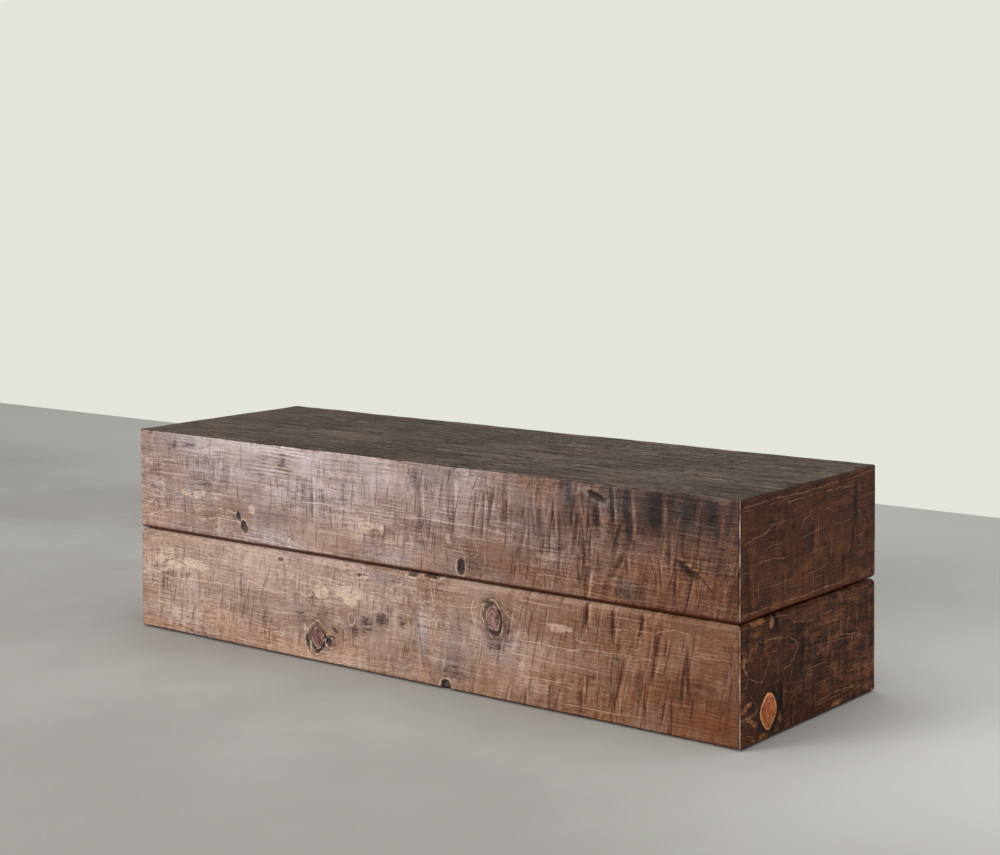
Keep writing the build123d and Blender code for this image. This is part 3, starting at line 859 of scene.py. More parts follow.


# The marks of each board, placed in millimetres from its middle and up it.
# Drawn ovals: place and half sizes; pits and patches also a turn in degrees, and knots how pointed they are.
# Places with painted highlights on raised ridges, cool places and smudges: place, half sizes and strength.
# Strokes: two ends and half width; gouges also their strength.
# Combs of strokes, fans of gouges and random strokes all over the board are seeded: a seed, a count, the
# region if it isn't the whole board, and ranges of length, lean, half width and strength.
front_upper = {
    "pits": [(-421, 253, 6, 9, 20), (-405, 233, 8, 13, 20), (132, 224, 8, 15, 0), (421, 378, 20, 6, -18)],
    "patches": [
        (-385, 270, 7, 8, 0), (103, 269, 5, 9, 0), (-90, 270, 17, 8, 5), (-56, 270, 9, 6, -30),
        (323, 266, 19, 5, 0), (-566, 284, 12, 7, 0), (-530, 284, 18, 6, 20), (666, 393, 10, 4, 0),
    ],
    "lines": [
        [(-699, 284), (-678, 282), (-661, 275), (-660, 262), (-675, 251), (-697, 238)],
        [(-679, 228), (-649, 237), (-609, 245), (-576, 245), (-526, 236), (-477, 243), (-422, 243)],
        [(-565, 280), (-547, 287), (-531, 283), (-508, 291), (-483, 289), (-455, 294)],
        [(-551, 271), (-540, 253), (-519, 262), (-477, 262), (-421, 258)],
        [(-346, 297), (-273, 296), (-208, 300), (-132, 296), (-36, 295), (57, 299), (167, 298), (238, 292)],
        [(299, 233), (380, 232), (462, 235), (540, 243)],
        [(463, 289), (510, 293), (541, 292), (573, 287)],
        [(608, 356), (650, 349)],
        [(618, 293), (668, 294)],
        [(621, 280), (665, 279)],
        [(586, 335), (640, 331), (692, 329)],
        [(126, 274), (138, 281), (155, 276), (167, 264), (170, 250), (160, 242)],
        [(124, 268), (130, 255), (142, 246), (154, 242)],
    ],
    "ridge_highlight": [
        (-320, 368, 240, 52, 1.0), (-610, 350, 70, 60, 0.5), (-60, 355, 150, 50, 0.8),
        (-500, 245, 120, 24, 0.5), (20, 240, 160, 26, 0.5), (160, 350, 90, 50, 0.5),
        (560, 240, 120, 26, 0.35),
    ],
    "cool": [
        (-640, 222, 100, 22, 1.0), (-590, 385, 130, 30, 0.8), (-350, 330, 120, 40, 0.5),
        (-60, 350, 160, 45, 0.9), (-40, 222, 90, 20, 1.0), (365, 370, 26, 60, 1.0), (478, 232, 30, 26, 1.0),
        (560, 350, 90, 60, 0.9), (450, 372, 120, 36, 0.9),
    ],
    "smudges": [
        (-604, 376, 18, 14, 0.9), (-556, 380, 24, 12, 0.9), (-500, 350, 30, 16, 0.4),
        (-295, 371, 26, 15, 0.7), (165, 238, 36, 16, 0.7), (43, 375, 45, 22, 0.5), (-147, 328, 16, 28, 0.5),
        (-420, 243, 26, 26, 0.5), (598, 274, 26, 12, 0.8), (545, 360, 28, 34, 0.45),
        (640, 372, 44, 28, 0.35), (478, 226, 14, 20, 0.6),
    ],
    "gouges": [
        (365, 398, 372, 340, 14, 0.5), (418, 367, 426, 326, 7, 0.9), (450, 396, 457, 336, 4, 0.9),
        (483, 395, 489, 314, 7, 0.9), (540, 392, 539, 335, 12, 1.0), (582, 287, 615, 268, 6, 0.9),
        (610, 396, 600, 350, 12, 0.7), (650, 392, 640, 345, 14, 0.7), (478, 290, 450, 245, 5, 0.5),
        (390, 340, 395, 255, 6, 0.5), (300, 385, 305, 300, 7, 0.4), (230, 380, 226, 300, 6, 0.35),
        (110, 380, 112, 300, 7, 0.35), (-225, 345, -225, 275, 3, 0.5), (30, 390, 36, 300, 8, 0.4),
    ],
    "strokes": [
        (-225, 345, -225, 255, 0.8), (-170, 305, -165, 265, 0.6), (-145, 350, -145, 305, 0.6),
        (-65, 385, -65, 320, 0.7), (-65, 285, -45, 235, 0.9), (-20, 325, -20, 280, 0.7),
        (10, 395, 15, 370, 0.7), (35, 365, 40, 285, 0.9), (40, 285, 50, 235, 0.9), (75, 285, 70, 240, 0.7),
        (110, 400, 100, 360, 0.8), (130, 360, 110, 280, 1.0), (170, 385, 155, 355, 0.8),
        (190, 370, 195, 340, 0.8), (235, 360, 230, 265, 0.8), (285, 390, 275, 370, 0.8),
        (315, 305, 310, 265, 0.8), (390, 396, 399, 332, 1.3), (471, 394, 466, 351, 1.4),
        (478, 350, 452, 285, 1.5), (457, 345, 456, 300, 0.9), (346, 298, 344, 276, 0.9),
        (403, 312, 400, 282, 0.8), (426, 295, 425, 242, 1.0), (525, 300, 538, 259, 0.8),
        (583, 325, 574, 268, 1.1), (574, 270, 563, 238, 0.9), (629, 388, 616, 277, 1.2),
        (613, 279, 658, 238, 1.2), (629, 263, 619, 206, 1.1), (582, 290, 616, 268, 1.6),
        (-570, 285, -570, 235, 1.0), (-530, 370, -530, 320, 0.7), (-510, 365, -495, 335, 0.7),
        (-320, 350, -310, 295, 0.8), (-262, 350, -262, 300, 0.7), (-195, 330, -195, 262, 0.7),
    ],
    "light_strokes": [
        (339, 344, 326, 308, 0.8), (491, 393, 495, 350, 0.8), (592, 371, 574, 336, 0.8),
        (679, 308, 665, 250, 0.8), (435, 385, 432, 340, 0.6), (555, 330, 540, 270, 0.6),
    ],
    "random": (21, 120, (14, 60), (-0.12, 0.22), (0.2, 0.8)),
    "combs": [
        (61, 12, (-345, -230, 290, 345), (25, 70), (-0.03, 0.06), (0.4, 0.8)),
        (62, 7, (-610, -530, 330, 375), (20, 45), (-0.1, 0.1), (0.3, 0.7)),
        (63, 6, (-500, -420, 330, 396), (30, 60), (-0.04, 0.04), (0.3, 0.6)),
        (64, 12, (-210, -60, 270, 392), (25, 60), (-0.08, 0.1), (0.5, 0.9)),
        (65, 12, (20, 180, 290, 392), (25, 60), (-0.02, 0.25), (0.5, 0.9)),
        (66, 10, (250, 420, 260, 380), (25, 60), (-0.1, 0.2), (0.6, 1.0)),
    ],
    "fans": (41, 46, (60, 690, 250, 400), (30, 90), (-0.15, 0.28), (1.6, 4.2), (0.25, 0.75)),
}
front_lower = {
    "pits": [
        (-308, 182, 7, 4, 0), (-109, 178, 4, 3, 0), (-95, 180, 4, 2, 0), (20, 197, 10, 4, 0),
        (62, 198, 13, 3, 0), (95, 7, 11, 11, 0), (-240, 38, 4, 16, 10), (-186, 42, 8, 8, 40),
    ],
    "knots": [(-215, 48, 20, 25, -5, 1.35), (202, 143, 16, 24, 8, 2.0)],
    "patches": [
        (-205, 137, 17, 13, 0), (-136, 140, 28, 12, 0), (-132, 128, 16, 10, 0), (-545, 144, 34, 8, -4),
        (-645, 143, 14, 8, 0), (344, 147, 20, 6, 0), (636, 142, 10, 4, 0), (-605, 138, 20, 7, 0),
    ],
    "lines": [
        [(-648, 146), (-619, 147), (-600, 150), (-578, 146), (-521, 147), (-521, 142), (-570, 137),
         (-601, 128), (-622, 130)],
        [(-699, 114), (-662, 117), (-616, 110), (-541, 113), (-448, 116), (-401, 114)],
        [(-405, 145), (-394, 131), (-359, 124), (-330, 117), (-296, 121)],
        [(-503, 163), (-466, 163), (-444, 160)],
        [(-330, 161), (-305, 154), (-278, 150)],
        [(-171, 140), (-161, 149), (-140, 152), (-120, 155), (-100, 144), (-102, 132)],
        [(-200, 40), (-195, 53), (-187, 59), (-177, 59), (-166, 55)],
        [(-4, 178), (-26, 166), (-46, 151), (-37, 134), (-17, 125), (12, 120)],
        [(30, 131), (69, 122), (104, 119)],
        [(221, 165), (238, 156), (254, 143)],
        [(160, 171), (154, 149), (160, 131), (172, 115)],
        [(180, 165), (174, 145), (180, 122)],
        [(254, 114), (329, 113), (371, 112), (409, 119), (499, 119), (532, 119)],
        [(378, 132), (402, 127)],
        [(610, 138), (642, 147), (660, 143), (682, 139)],
        [(457, 161), (539, 166), (572, 176), (620, 172), (682, 170)],
        [(69, 190), (72, 143), (76, 100)],
    ],
    "ovals_drawn": [(-243, 134, 16, 13), (-128, 94, 8, 11)],
    "ridge_highlight": [
        (-640, 180, 70, 20, 0.5), (-420, 60, 120, 40, 0.25), (60, 186, 120, 12, 0.5),
        (560, 130, 130, 40, 0.35),
    ],
    "cool": [
        (-40, 180, 60, 14, 1.0), (-260, 190, 120, 14, 0.7), (-110, 90, 60, 30, 0.6), (120, 70, 60, 60, 0.8),
        (205, 95, 60, 40, 0.8), (40, 80, 16, 60, 0.8),
    ],
    "smudges": [
        (-258, 80, 22, 26, 0.75), (-200, 90, 22, 18, 0.8), (-168, 68, 14, 10, 0.7), (-40, 180, 44, 12, 0.4),
        (-126, 90, 20, 24, 0.9), (-96, 88, 22, 18, 0.95), (-55, 97, 14, 16, 1.0), (-5, 106, 10, 13, 0.95),
        (-236, 40, 12, 26, 0.9), (-180, 44, 14, 16, 0.8), (116, 46, 24, 34, 0.8), (90, 22, 34, 18, 0.7),
        (205, 98, 22, 20, 0.8), (232, 132, 14, 30, 0.8), (22, 70, 12, 44, 0.4), (196, 168, 16, 10, 0.7),
        (120, 110, 14, 26, 0.5), (460, 105, 30, 22, 0.35),
    ],
    "gouges": [
        (402, 199, 400, 158, 5, 0.8), (455, 198, 453, 140, 5, 0.8), (513, 196, 511, 155, 4, 0.6),
        (545, 165, 530, 80, 5, 0.5), (480, 120, 450, 5, 5, 0.45), (600, 150, 600, 80, 5, 0.5),
        (390, 75, 385, 10, 5, 0.5),
    ],
    "strokes": [
        (403, 200, 400, 158, 1.3), (455, 198, 453, 142, 1.3), (514, 192, 510, 155, 1.0),
        (545, 165, 530, 80, 1.0), (570, 160, 555, 100, 0.9), (480, 120, 450, 5, 1.0),
        (395, 75, 390, 10, 1.1), (600, 150, 600, 80, 1.0), (430, 140, 425, 90, 0.8),
        (-650, 170, -655, 120, 0.9), (-630, 120, -635, 65, 0.7), (-335, 175, -350, 125, 0.8),
        (-435, 85, -440, 40, 0.8), (-405, 100, -415, 50, 0.9), (-380, 105, -395, 30, 0.9),
        (30, 125, 45, 30, 1.0), (-585, 60, -585, 25, 0.8), (-545, 70, -555, 30, 0.8),
        (455, 80, 445, 20, 1.1), (520, 90, 515, 30, 1.1), (-177, 75, -158, 60, 1.2),
        (-126, 78, -124, 40, 0.9), (-122, 178, -85, 181, 1.0), (72, 185, 74, 120, 0.7),
    ],
    "light_strokes": [
        (60, 190, 70, 140, 1.0), (70, 140, 75, 70, 0.8), (-585, 45, -580, 10, 0.9),
        (-648, 90, -652, 20, 1.2), (225, 160, 252, 140, 0.9),
    ],
    "random": (22, 110, (14, 55), (0.0, 0.3), (0.2, 0.8)),
    "combs": [
        (71, 14, (-640, -560, 60, 180), (20, 50), (0.0, 0.25), (0.5, 0.9)),
        (72, 16, (-470, -330, 60, 150), (20, 55), (0.05, 0.3), (0.5, 0.9)),
        (73, 10, (-120, 20, 120, 180), (15, 40), (-0.1, 0.2), (0.4, 0.8)),
        (74, 9, (400, 620, 80, 190), (30, 70), (0.05, 0.25), (0.6, 1.0)),
        (75, 8, (260, 380, 40, 150), (20, 50), (0.0, 0.25), (0.5, 0.9)),
    ],
    "fans": (42, 30, (150, 690, 30, 195), (30, 100), (0.0, 0.3), (1.4, 3.2), (0.25, 0.6)),
}
right_upper = {
    "lines": [
        [(-216, 325), (-190, 332), (-150, 336), (-120, 345)],
        [(-184, 290), (-130, 292), (-87, 287)],
        [(30, 352), (60, 346)],
        [(-214, 386), (-120, 388), (-20, 385), (90, 388)],
        [(-80, 376), (20, 378), (150, 374)],
        [(-218, 214), (-120, 216), (-30, 213), (60, 217)],
        [(-34, 328), (-24, 340), (-6, 344), (6, 336)],
    ],
    "strokes": [(-60, 300, -66, 250, 1.0), (60, 290, 58, 230, 1.0), (120, 330, 118, 270, 1.0)],
    "light_strokes": [
        (24, 340, 20, 285, 0.7), (-170, 263, -171, 232, 0.9), (-136, 292, -136, 263, 0.8),
        (70, 300, 68, 262, 0.7), (-184, 320, -186, 296, 0.6),
    ],
    "gouges": [(-205, 300, -200, 215, 9, 0.5), (0, 330, 0, 280, 9, 0.5), (150, 380, 150, 300, 9, 0.5)],
    "ridge_highlight": [(90, 376, 160, 26, 0.5), (-120, 240, 120, 26, 0.3)],
    "random": (23, 30, (15, 60), (-0.1, 0.15), (0.2, 0.7)),
    "fans": (43, 8, (-215, 215, 220, 395), (30, 90), (-0.1, 0.15), (3.0, 7.0), (0.2, 0.45)),
}
right_lower = {
    "knots": [(-137, 46, 28, 33, 0, 1.7)],
    "patches": [
        (-156, 197, 22, 4, 0), (-130, 189, 6, 8, 0), (-214, 137, 4, 7, 0), (-204, 66, 12, 4, 20),
        (-190, 40, 16, 4, -30), (-108, 36, 4, 14, 30), (-150, 8, 24, 4, 0), (88, 9, 14, 4, 0),
    ],
    "lines": [
        [(-206, 138), (-192, 155), (-169, 164), (-130, 162), (-96, 156), (-61, 149), (-43, 135), (-53, 122),
         (-73, 106), (-100, 105)],
        [(-162, 92), (-148, 112), (-128, 137), (-110, 142)],
        [(-220, 138), (-198, 111), (-162, 95)],
        [(84, 126), (154, 116), (199, 101)],
        [(-60, 176), (0, 168), (70, 172)],
        [(-205, 20), (-170, 12), (-120, 14), (-90, 24)],
        [(-196, 84), (-178, 66), (-172, 40)],
        [(-118, 88), (-108, 60), (-112, 30)],
        [(-70, 120), (-64, 100), (-70, 84)],
        [(-214, 128), (-204, 112), (-210, 96)],
        [(20, 24), (80, 30), (150, 26)],
    ],
    "smudges": [
        (-100, 58, 8, 24, 1.0), (-190, 110, 24, 16, 0.6), (-60, 100, 40, 30, 0.6), (-115, 190, 8, 12, 1.0),
    ],
    "gouges": [(-100, 82, -101, 36, 7, 1.0), (-115, 200, -115, 180, 7, 1.0), (-30, 150, -34, 90, 8, 0.5)],
    "strokes": [(-40, 130, -42, 80, 0.9), (120, 160, 118, 110, 0.9), (60, 120, 58, 60, 0.9)],
    "light_strokes": [
        (32, 134, 31, 107, 0.9), (100, 150, 99, 120, 0.7), (-92, 70, -90, 40, 0.7), (6, 150, 4, 112, 0.7),
        (58, 140, 57, 96, 0.8), (140, 120, 139, 84, 0.7), (-20, 84, -21, 52, 0.6),
        (170, 150, 168, 104, 0.7), (84, 84, 83, 40, 0.7),
    ],
    "random": (24, 26, (15, 50), (-0.1, 0.2), (0.2, 0.7)),
    "fans": (44, 8, (-215, 215, 20, 195), (30, 90), (-0.1, 0.2), (3.0, 7.0), (0.2, 0.5)),
}
top_front = {
    "patches": [
        (-20, -83, 12, 2, 0), (34, -86, 14, 2, 0), (302, -89, 15, 2, 0), (559, -76, 18, 2, 0),
        (-250, -120, 14, 2, 0),
    ],
    "lines": [[(560, -120), (600, -124), (640, -128)], [(-560, -60), (-500, -64)]],
    "strokes": [
        (575, -141, 677, -137, 1.8), (-600, -60, -640, -62, 0.9), (100, -150, 60, -152, 0.8),
        (400, -40, 350, -42, 0.9), (-120, -30, -20, -34, 0.9), (150, -60, 290, -66, 0.8),
        (430, -175, 560, -178, 1.2), (300, -110, 420, -114, 1.0), (500, -60, 640, -64, 1.0),
        (200, -200, 330, -204, 1.0), (350, -15, 520, -18, 1.0),
    ],
    "light_strokes": [(460, -90, 500, -92, 1.0), (620, -180, 660, -183, 1.0), (380, -160, 420, -162, 0.9)],
    "random": (25, 16, (10, 40), (-0.4, 0.4), (0.2, 0.6)),
}
top_back = {
    "patches": [
        (466, -113, 14, 2, 0), (404, -116, 14, 2, 0), (-156, -102, 14, 2, 0), (-292, -105, 16, 2, 0),
        (-574, -100, 12, 2, 0),
    ],
    "strokes": [
        (298, -186, 205, -171, 1.6), (12, -180, -33, -187, 1.4), (-400, -60, -520, -64, 0.9),
        (-560, -60, -660, -64, 1.1), (-420, -150, -540, -154, 1.0), (-300, -40, -420, -44, 1.0),
    ],
    "light_strokes": [(-480, -100, -520, -103, 1.0), (-600, -30, -640, -32, 1.0)],
    "random": (26, 16, (10, 40), (-0.4, 0.4), (0.2, 0.6)),
}
back_upper = {
    "knots": [(310, 300, 18, 22, 10, 2.0)],
    "patches": [(-300, 330, 20, 7, 0), (90, 250, 12, 6, 0)],
    "lines": [
        [(-690, 300), (-600, 306), (-480, 300), (-380, 308)],
        [(120, 340), (220, 346), (300, 352), (400, 340)],
    ],
    "cool": [(-400, 370, 260, 30, 0.8), (200, 230, 160, 24, 0.8)],
    "smudges": [(310, 260, 40, 24, 0.6), (-480, 290, 40, 26, 0.6)],
    "random": (27, 110, (14, 70), (-0.16, 0.2), (0.2, 0.75)),
    "fans": (45, 40, (-690, 690, 230, 395), (30, 90), (-0.15, 0.25), (2.5, 6.0), (0.2, 0.55)),
}
back_lower = {
    "knots": [(-420, 96, 20, 26, -8, 1.5), (120, 60, 13, 17, 0, 2.0)],
    "patches": [(420, 120, 24, 8, 0), (-90, 150, 16, 7, 0)],
    "lines": [[(-300, 150), (-200, 142), (-60, 148)], [(260, 90), (360, 84), (470, 92), (600, 88)]],
    "ovals_drawn": [(420, 120, 28, 11)],
    "cool": [(-100, 180, 200, 16, 0.8), (300, 40, 120, 40, 0.6)],
    "smudges": [(-420, 60, 46, 26, 0.8), (120, 96, 26, 26, 0.7)],
    "random": (28, 100, (14, 60), (-0.1, 0.26), (0.2, 0.75)),
    "fans": (46, 30, (-690, 690, 20, 195), (30, 90), (0.0, 0.28), (2.5, 6.0), (0.15, 0.45)),
}
left_upper = {
    "patches": [(60, 300, 16, 6, 0)],
    "lines": [[(-200, 330), (-120, 338), (-40, 330), (60, 336)]],
    "random": (29, 40, (15, 60), (-0.1, 0.2), (0.2, 0.7)),
    "fans": (47, 14, (-215, 215, 220, 395), (30, 90), (-0.1, 0.15), (3.0, 7.0), (0.2, 0.5)),
}
left_lower = {
    "knots": [(70, 90, 15, 19, 0, 2.0)],
    "smudges": [(70, 70, 40, 40, 0.5)],
    "lines": [[(-190, 120), (-110, 128), (-20, 124)]],
    "random": (30, 40, (15, 60), (-0.1, 0.2), (0.2, 0.7)),
    "fans": (48, 14, (-215, 215, 20, 195), (30, 90), (-0.1, 0.2), (3.0, 7.0), (0.2, 0.5)),
}


def along_board(u, *stops):
    """A value that follows stops along the board, each a place in millimetres and the value there."""
    places, values = zip(*stops)
    return np.interp(u / mm, places, values)


# Looks of each board: what its stain is like at a place on its face.
def board_tone(name, u, v):
    """How light the stain is: on the front lightest left of the middle, and darkest at the right end, with a
    painted highlight along the lower lip of the front groove right of the middle.
    """
    if name == "front_board_upper":
        along = along_board(u, (-700, 0.81), (-620, 0.72), (-480, 0.74), (-300, 0.79), (0, 0.73), (250, 0.61),
                            (450, 0.52), (700, 0.37))
        return along - 0.22 * smooth((u / mm - 250) / 250) * smooth((v / mm - 300) / 70)
    if name == "front_board_lower":
        along = along_board(u, (-700, 0.8), (-560, 0.84), (-300, 0.87), (-150, 0.84), (0, 0.8), (250, 0.72),
                            (450, 0.64), (700, 0.47))
        # A painted highlight along the top of the lower front board, right of the middle, where the lip of
        # the groove catches the light.
        return along + 0.1 * smooth((v / mm - 189) / 5) * smooth((u / mm - 60) / 200)
    if name.startswith("back"):
        return along_board(u, (-700, 0.42), (0, 0.52), (700, 0.46))
    if name.startswith("top"):
        return 0.355
    return 0.29 + 0.1 * bell((v / mm - 210) / 16) if name.endswith("upper") else 0.26


def coat_and_painted_sheen_share(name, u, v):
    """How much painted grey sheen each board has in its colour, and the same share of clear coat: most on the
    upper front board left of the middle, with a painted highlight strip under its top arris, a little
    elsewhere and none on the right end.
    """
    if name != "front_board_upper":
        return 0.0 if "right" in name else 0.02
    along = along_board(u, (-700, 0.1), (-640, 0.2), (-560, 0.8), (-150, 1.0), (60, 0.5), (220, 0.1))
    # A painted highlight in a thin strip just under the top arris, left of the middle.
    painted_highlight_under_arris = 0.7 * bell((v / mm - 388) / 9) * smooth((u / mm + 480) / 60) * smooth(-u / mm / 120)
    return along * (0.2 + 0.8 * smooth((v / mm - 270) / 110)) + painted_highlight_under_arris


def golden_share(name, u, v):
    """Where the stain turns golden: low on the front boards and towards their right end."""
    if "front_board" not in name:
        return 1.0 if "right" in name else 0.4
    low_down = smooth(1 - (v - course_height * (v > course_height)) / (110 * mm))
    share, right, start = (0.3, 0.4, 100) if "upper" in name else (0.45, 0.6, 200)
    return np.clip(0.1 + share * low_down + right * smooth((u / mm - start) / 420), 0, 1)


def cool_share(name, u, v, marks):
    """Where the stain turns a cool grey brown: most of the upper front board, and drawn places elsewhere."""
    least = {"back_board_upper": 0.4, "back_board_lower": 0.25}.get(name, 0.0)
    if name == "front_board_upper":
        least = along_board(u, (-700, 0.3), (-620, 0.65), (-300, 0.7), (0, 0.6), (300, 0.5), (600, 0.1))
    elif name == "front_board_lower":
        least = along_board(u, (-200, 0.25), (200, 0.05))
    return np.maximum(0.9 * smudge_strength(u, v, marks.get("cool", [])), least)


def contrast_share(name, u, real_place):
    """How strongly flecks and blotches mark each board along its length."""
    if name == "front_board_upper":
        return along_board(u, (-700, 1.35), (-300, 1.2), (100, 1.05), (700, 1.5))
    if name == "front_board_lower":
        return along_board(u, (-700, 1.5), (-560, 1.4), (-450, 1.15), (700, 0.95))
    if name.startswith("top"):
        return along_board(real_place, (-700, 0.7), (-200, 0.95), (250, 1.05), (600, 1.15))
    return 2.0 if name.endswith("lower") else 1.3


def saw_manner(u, upper, at_end, top):
    """How many small saw marks a board has, from 0 to 1, and how far they lean for each metre of height."""
    if top:
        return 0.2, 0.1
    if at_end:
        return 0.35 if upper else 0.6, 0.04
    busy = along_board(u, (-700, 0.5), (-200, 0.6), (200, 0.8), (450, 1.0))
    lean = along_board(u, (-700, 0.02), (-100, 0.05), (300, 0.2))
    return busy, lean


def store_values(mesh, label, values):
    """Keeps one number or one vector for each point of the mesh."""
    kind, field = ("FLOAT_VECTOR", "vector") if values.ndim == 3 else ("FLOAT", "value")
    attribute = mesh.attributes.new(label, kind, "POINT")
    attribute.data.foreach_set(field, values.ravel().astype(np.float32))


def store_marks(mesh, u, v, marks, region):
    """Keeps the drawn and seeded marks of one face on its mesh."""

    def drawn(label):
        return marks.get(label, [])

    seed, count, *spans = marks["random"]
    strokes = drawn("strokes") + random_marks(seed, count, region, *spans)
    for comb in drawn("combs"):
        strokes += random_marks(*comb)
    light_strokes = drawn("light_strokes") + random_marks(seed + 100, count // 4, region, *spans)
    gouges = drawn("gouges") + (random_marks(*marks["fans"]) if "fans" in marks else [])
    turns = np.linspace(0, math.tau, 15)
    knots, ovals = drawn("knots"), drawn("ovals_drawn")
    rings = [[(u0 + half_u * math.cos(turn), v0 + half_v * math.sin(turn)) for turn in turns]
             for u0, v0, half_u, half_v in ovals]
    lines = line_marks(drawn("lines") + rings)
    for label, thin in (("dark", strokes), ("light", light_strokes), ("line", lines)):
        offset, width = thin_marks(u, v, thin, tapering=label != "line")
        store_values(mesh, label + "_offset", offset)
        store_values(mesh, label + "_width", width)
    gouge, gouge_lip = gouge_masks(u, v, gouges)
    looks = {
        "gouge": gouge,
        "gouge_lip": gouge_lip,
        "pit": oval_distance(u, v, drawn("pits")),
        "patch": oval_distance(u, v, drawn("patches")),
        "knot_place": knot_frame(u, v, knots),
        "smudge": smudge_strength(u, v, drawn("smudges")),
        # share of painted highlight on raised ridges
        "ridge_highlight": 0.04 + 0.25 * smudge_strength(u, v, drawn("ridge_highlight")),
        "swell": swell_round(u, v, knots + ovals),
    }
    for label, values in looks.items():
        store_values(mesh, label, values)


class LongEdge:
    """The low or high edge of a board: a mitred arris that waves, or a chamfer."""

    def __init__(self, arris_name, real_spots, place, inward, chamfer):
        self.mitred = arris_name is not None
        self.recess = recess(arris_name, real_spots)
        self.place, self.inward, self.chamfer = place, inward, chamfer
        self.face = place + inward * ((arris if self.mitred else chamfer) + self.recess)
        self.inner = place + inward * board_thickness if self.mitred else place

    def rows(self):
        """Rows from the edge to the face, each a depth, a place up the board and a kind."""
        if self.mitred:
            side = arris / 2 + self.recess
            return [(side, self.place + self.inward * side, "edge")]
        half = self.chamfer / 2
        return [(self.chamfer, self.place, "chamfer"), (half, self.place + self.inward * half, "chamfer")]

    def nearness(self, v, reach):
        """1 where the face meets an arris, falling to 0 at the reach."""
        return smooth(1 - self.inward * (v - self.face) / reach) if self.mitred else 0 * v

    def distance(self, v, spare):
        """How far a place is from the edge, with something to spare at a chamfer."""
        return self.inward * (v - self.place) + (0 if self.mitred else spare)


def board_rows(spots, low_edge, high_edge):
    """Rows of points up the face and down the inside: their depth, place up the board and kind."""
    count = int((high_edge.place - low_edge.place) / row_step)
    span = high_edge.face - low_edge.face
    rows = low_edge.rows()
    rows += [(0, low_edge.face + share * span, "face") for share in np.linspace(0, 1, count)]
    rows += high_edge.rows()[::-1]
    middle = (high_edge.inner + low_edge.inner) / 2
    rows += [(board_thickness, place, "inner") for place in (high_edge.inner, middle, low_edge.inner)]
    depths, places, kinds = zip(*rows)
    depth, v = (np.array([value + 0 * spots for value in values]) for values in (depths, places))
    return depth, v, np.array(kinds)[:, None]


def board_grid(spots, half_run, low_edge, high_edge, end_arrises, real_v, reach):
    """Where each point lies along the board, up it and behind its outer plane, its row's kind, and how free
    it is to be sunk by the relief."""
    flat_depth, v, kind = board_rows(spots, low_edge, high_edge)
    face = kind == "face"
    minus_recess = recess(end_arrises[0], real_v * v[:, :1])
    plus_recess = recess(end_arrises[1], real_v * v[:, -1:])
    side_recess = np.where(spots < 0, minus_recess, plus_recess)
    u = spots * (1 - (flat_depth + np.where(face, side_recess, 0)) / half_run)

    near_low, near_high = low_edge.nearness(v, reach), high_edge.nearness(v, reach)
    near_edge = np.maximum(near_high, near_low)
    near_end = smooth(1 - (half_run - arris - np.abs(spots)) / end_reach) + 0 * v
    drop = near_high * high_edge.recess + near_low * low_edge.recess
    drop += (1 - near_edge) * near_end * side_recess
    free = np.where((kind == "inner") | (kind == "edge"), 0, (1 - near_edge) * (1 - near_end))
    depth = flat_depth + np.where(face, drop, 0)

    minus_depth = np.maximum(flat_depth[:, :1], arris / 2 + minus_recess)
    plus_depth = np.maximum(flat_depth[:, -1:], arris / 2 + plus_recess)
    u = np.hstack([minus_depth - half_run, u, half_run - plus_depth])
    depth = np.hstack([minus_depth, depth, plus_depth])
    free = np.pad(free, ((0, 0), (1, 1)))
    return u, np.pad(v, ((0, 0), (1, 1)), "edge"), depth, kind, free


def board_mesh(name, axes, distance, u, v, depth, kind):
    """A closed mesh round the grid, with a flat cap at each end. Only its face is shaded smooth."""
    along, up, out = (np.array(axis) for axis in axes)
    points = u[..., None] * along + v[..., None] * up + (distance - depth)[..., None] * out
    rows, columns = u.shape
    index = np.arange(rows * columns).reshape(u.shape)
    following = np.roll(index, -1, axis=0)
    quads = np.stack([index[:, :-1], index[:, 1:], following[:, 1:], following[:, :-1]], axis=-1)
    faces = quads.reshape(-1, 4).tolist()
    inner_rows = np.count_nonzero(kind == "inner")
    outer_rows = rows - inner_rows
    inner = rows - 1 - np.round(np.arange(outer_rows) * (inner_rows - 1) / (outer_rows - 1)).astype(int)
    for column, forward in ((0, False), (columns - 1, True)):
        for row in range(outer_rows - 1):
            ring = [index[place, column] for place in (row + 1, row, inner[row], inner[row + 1])]
            ring = [int(item) for item in dict.fromkeys(ring)]
            faces.append(ring if forward else ring[::-1])
    smooth_rows = (kind == "face") & (np.roll(kind, -1, axis=0) == "face")
    shaded = np.zeros(len(faces), bool)
    shaded[:rows * (columns - 1)] = np.repeat(smooth_rows, columns - 1)
    mesh = bpy.data.meshes.new(name)
    mesh.from_pydata(points.reshape(-1, 3).tolist(), [], faces)
    mesh.polygons.foreach_set("use_smooth", shaded)
    return mesh


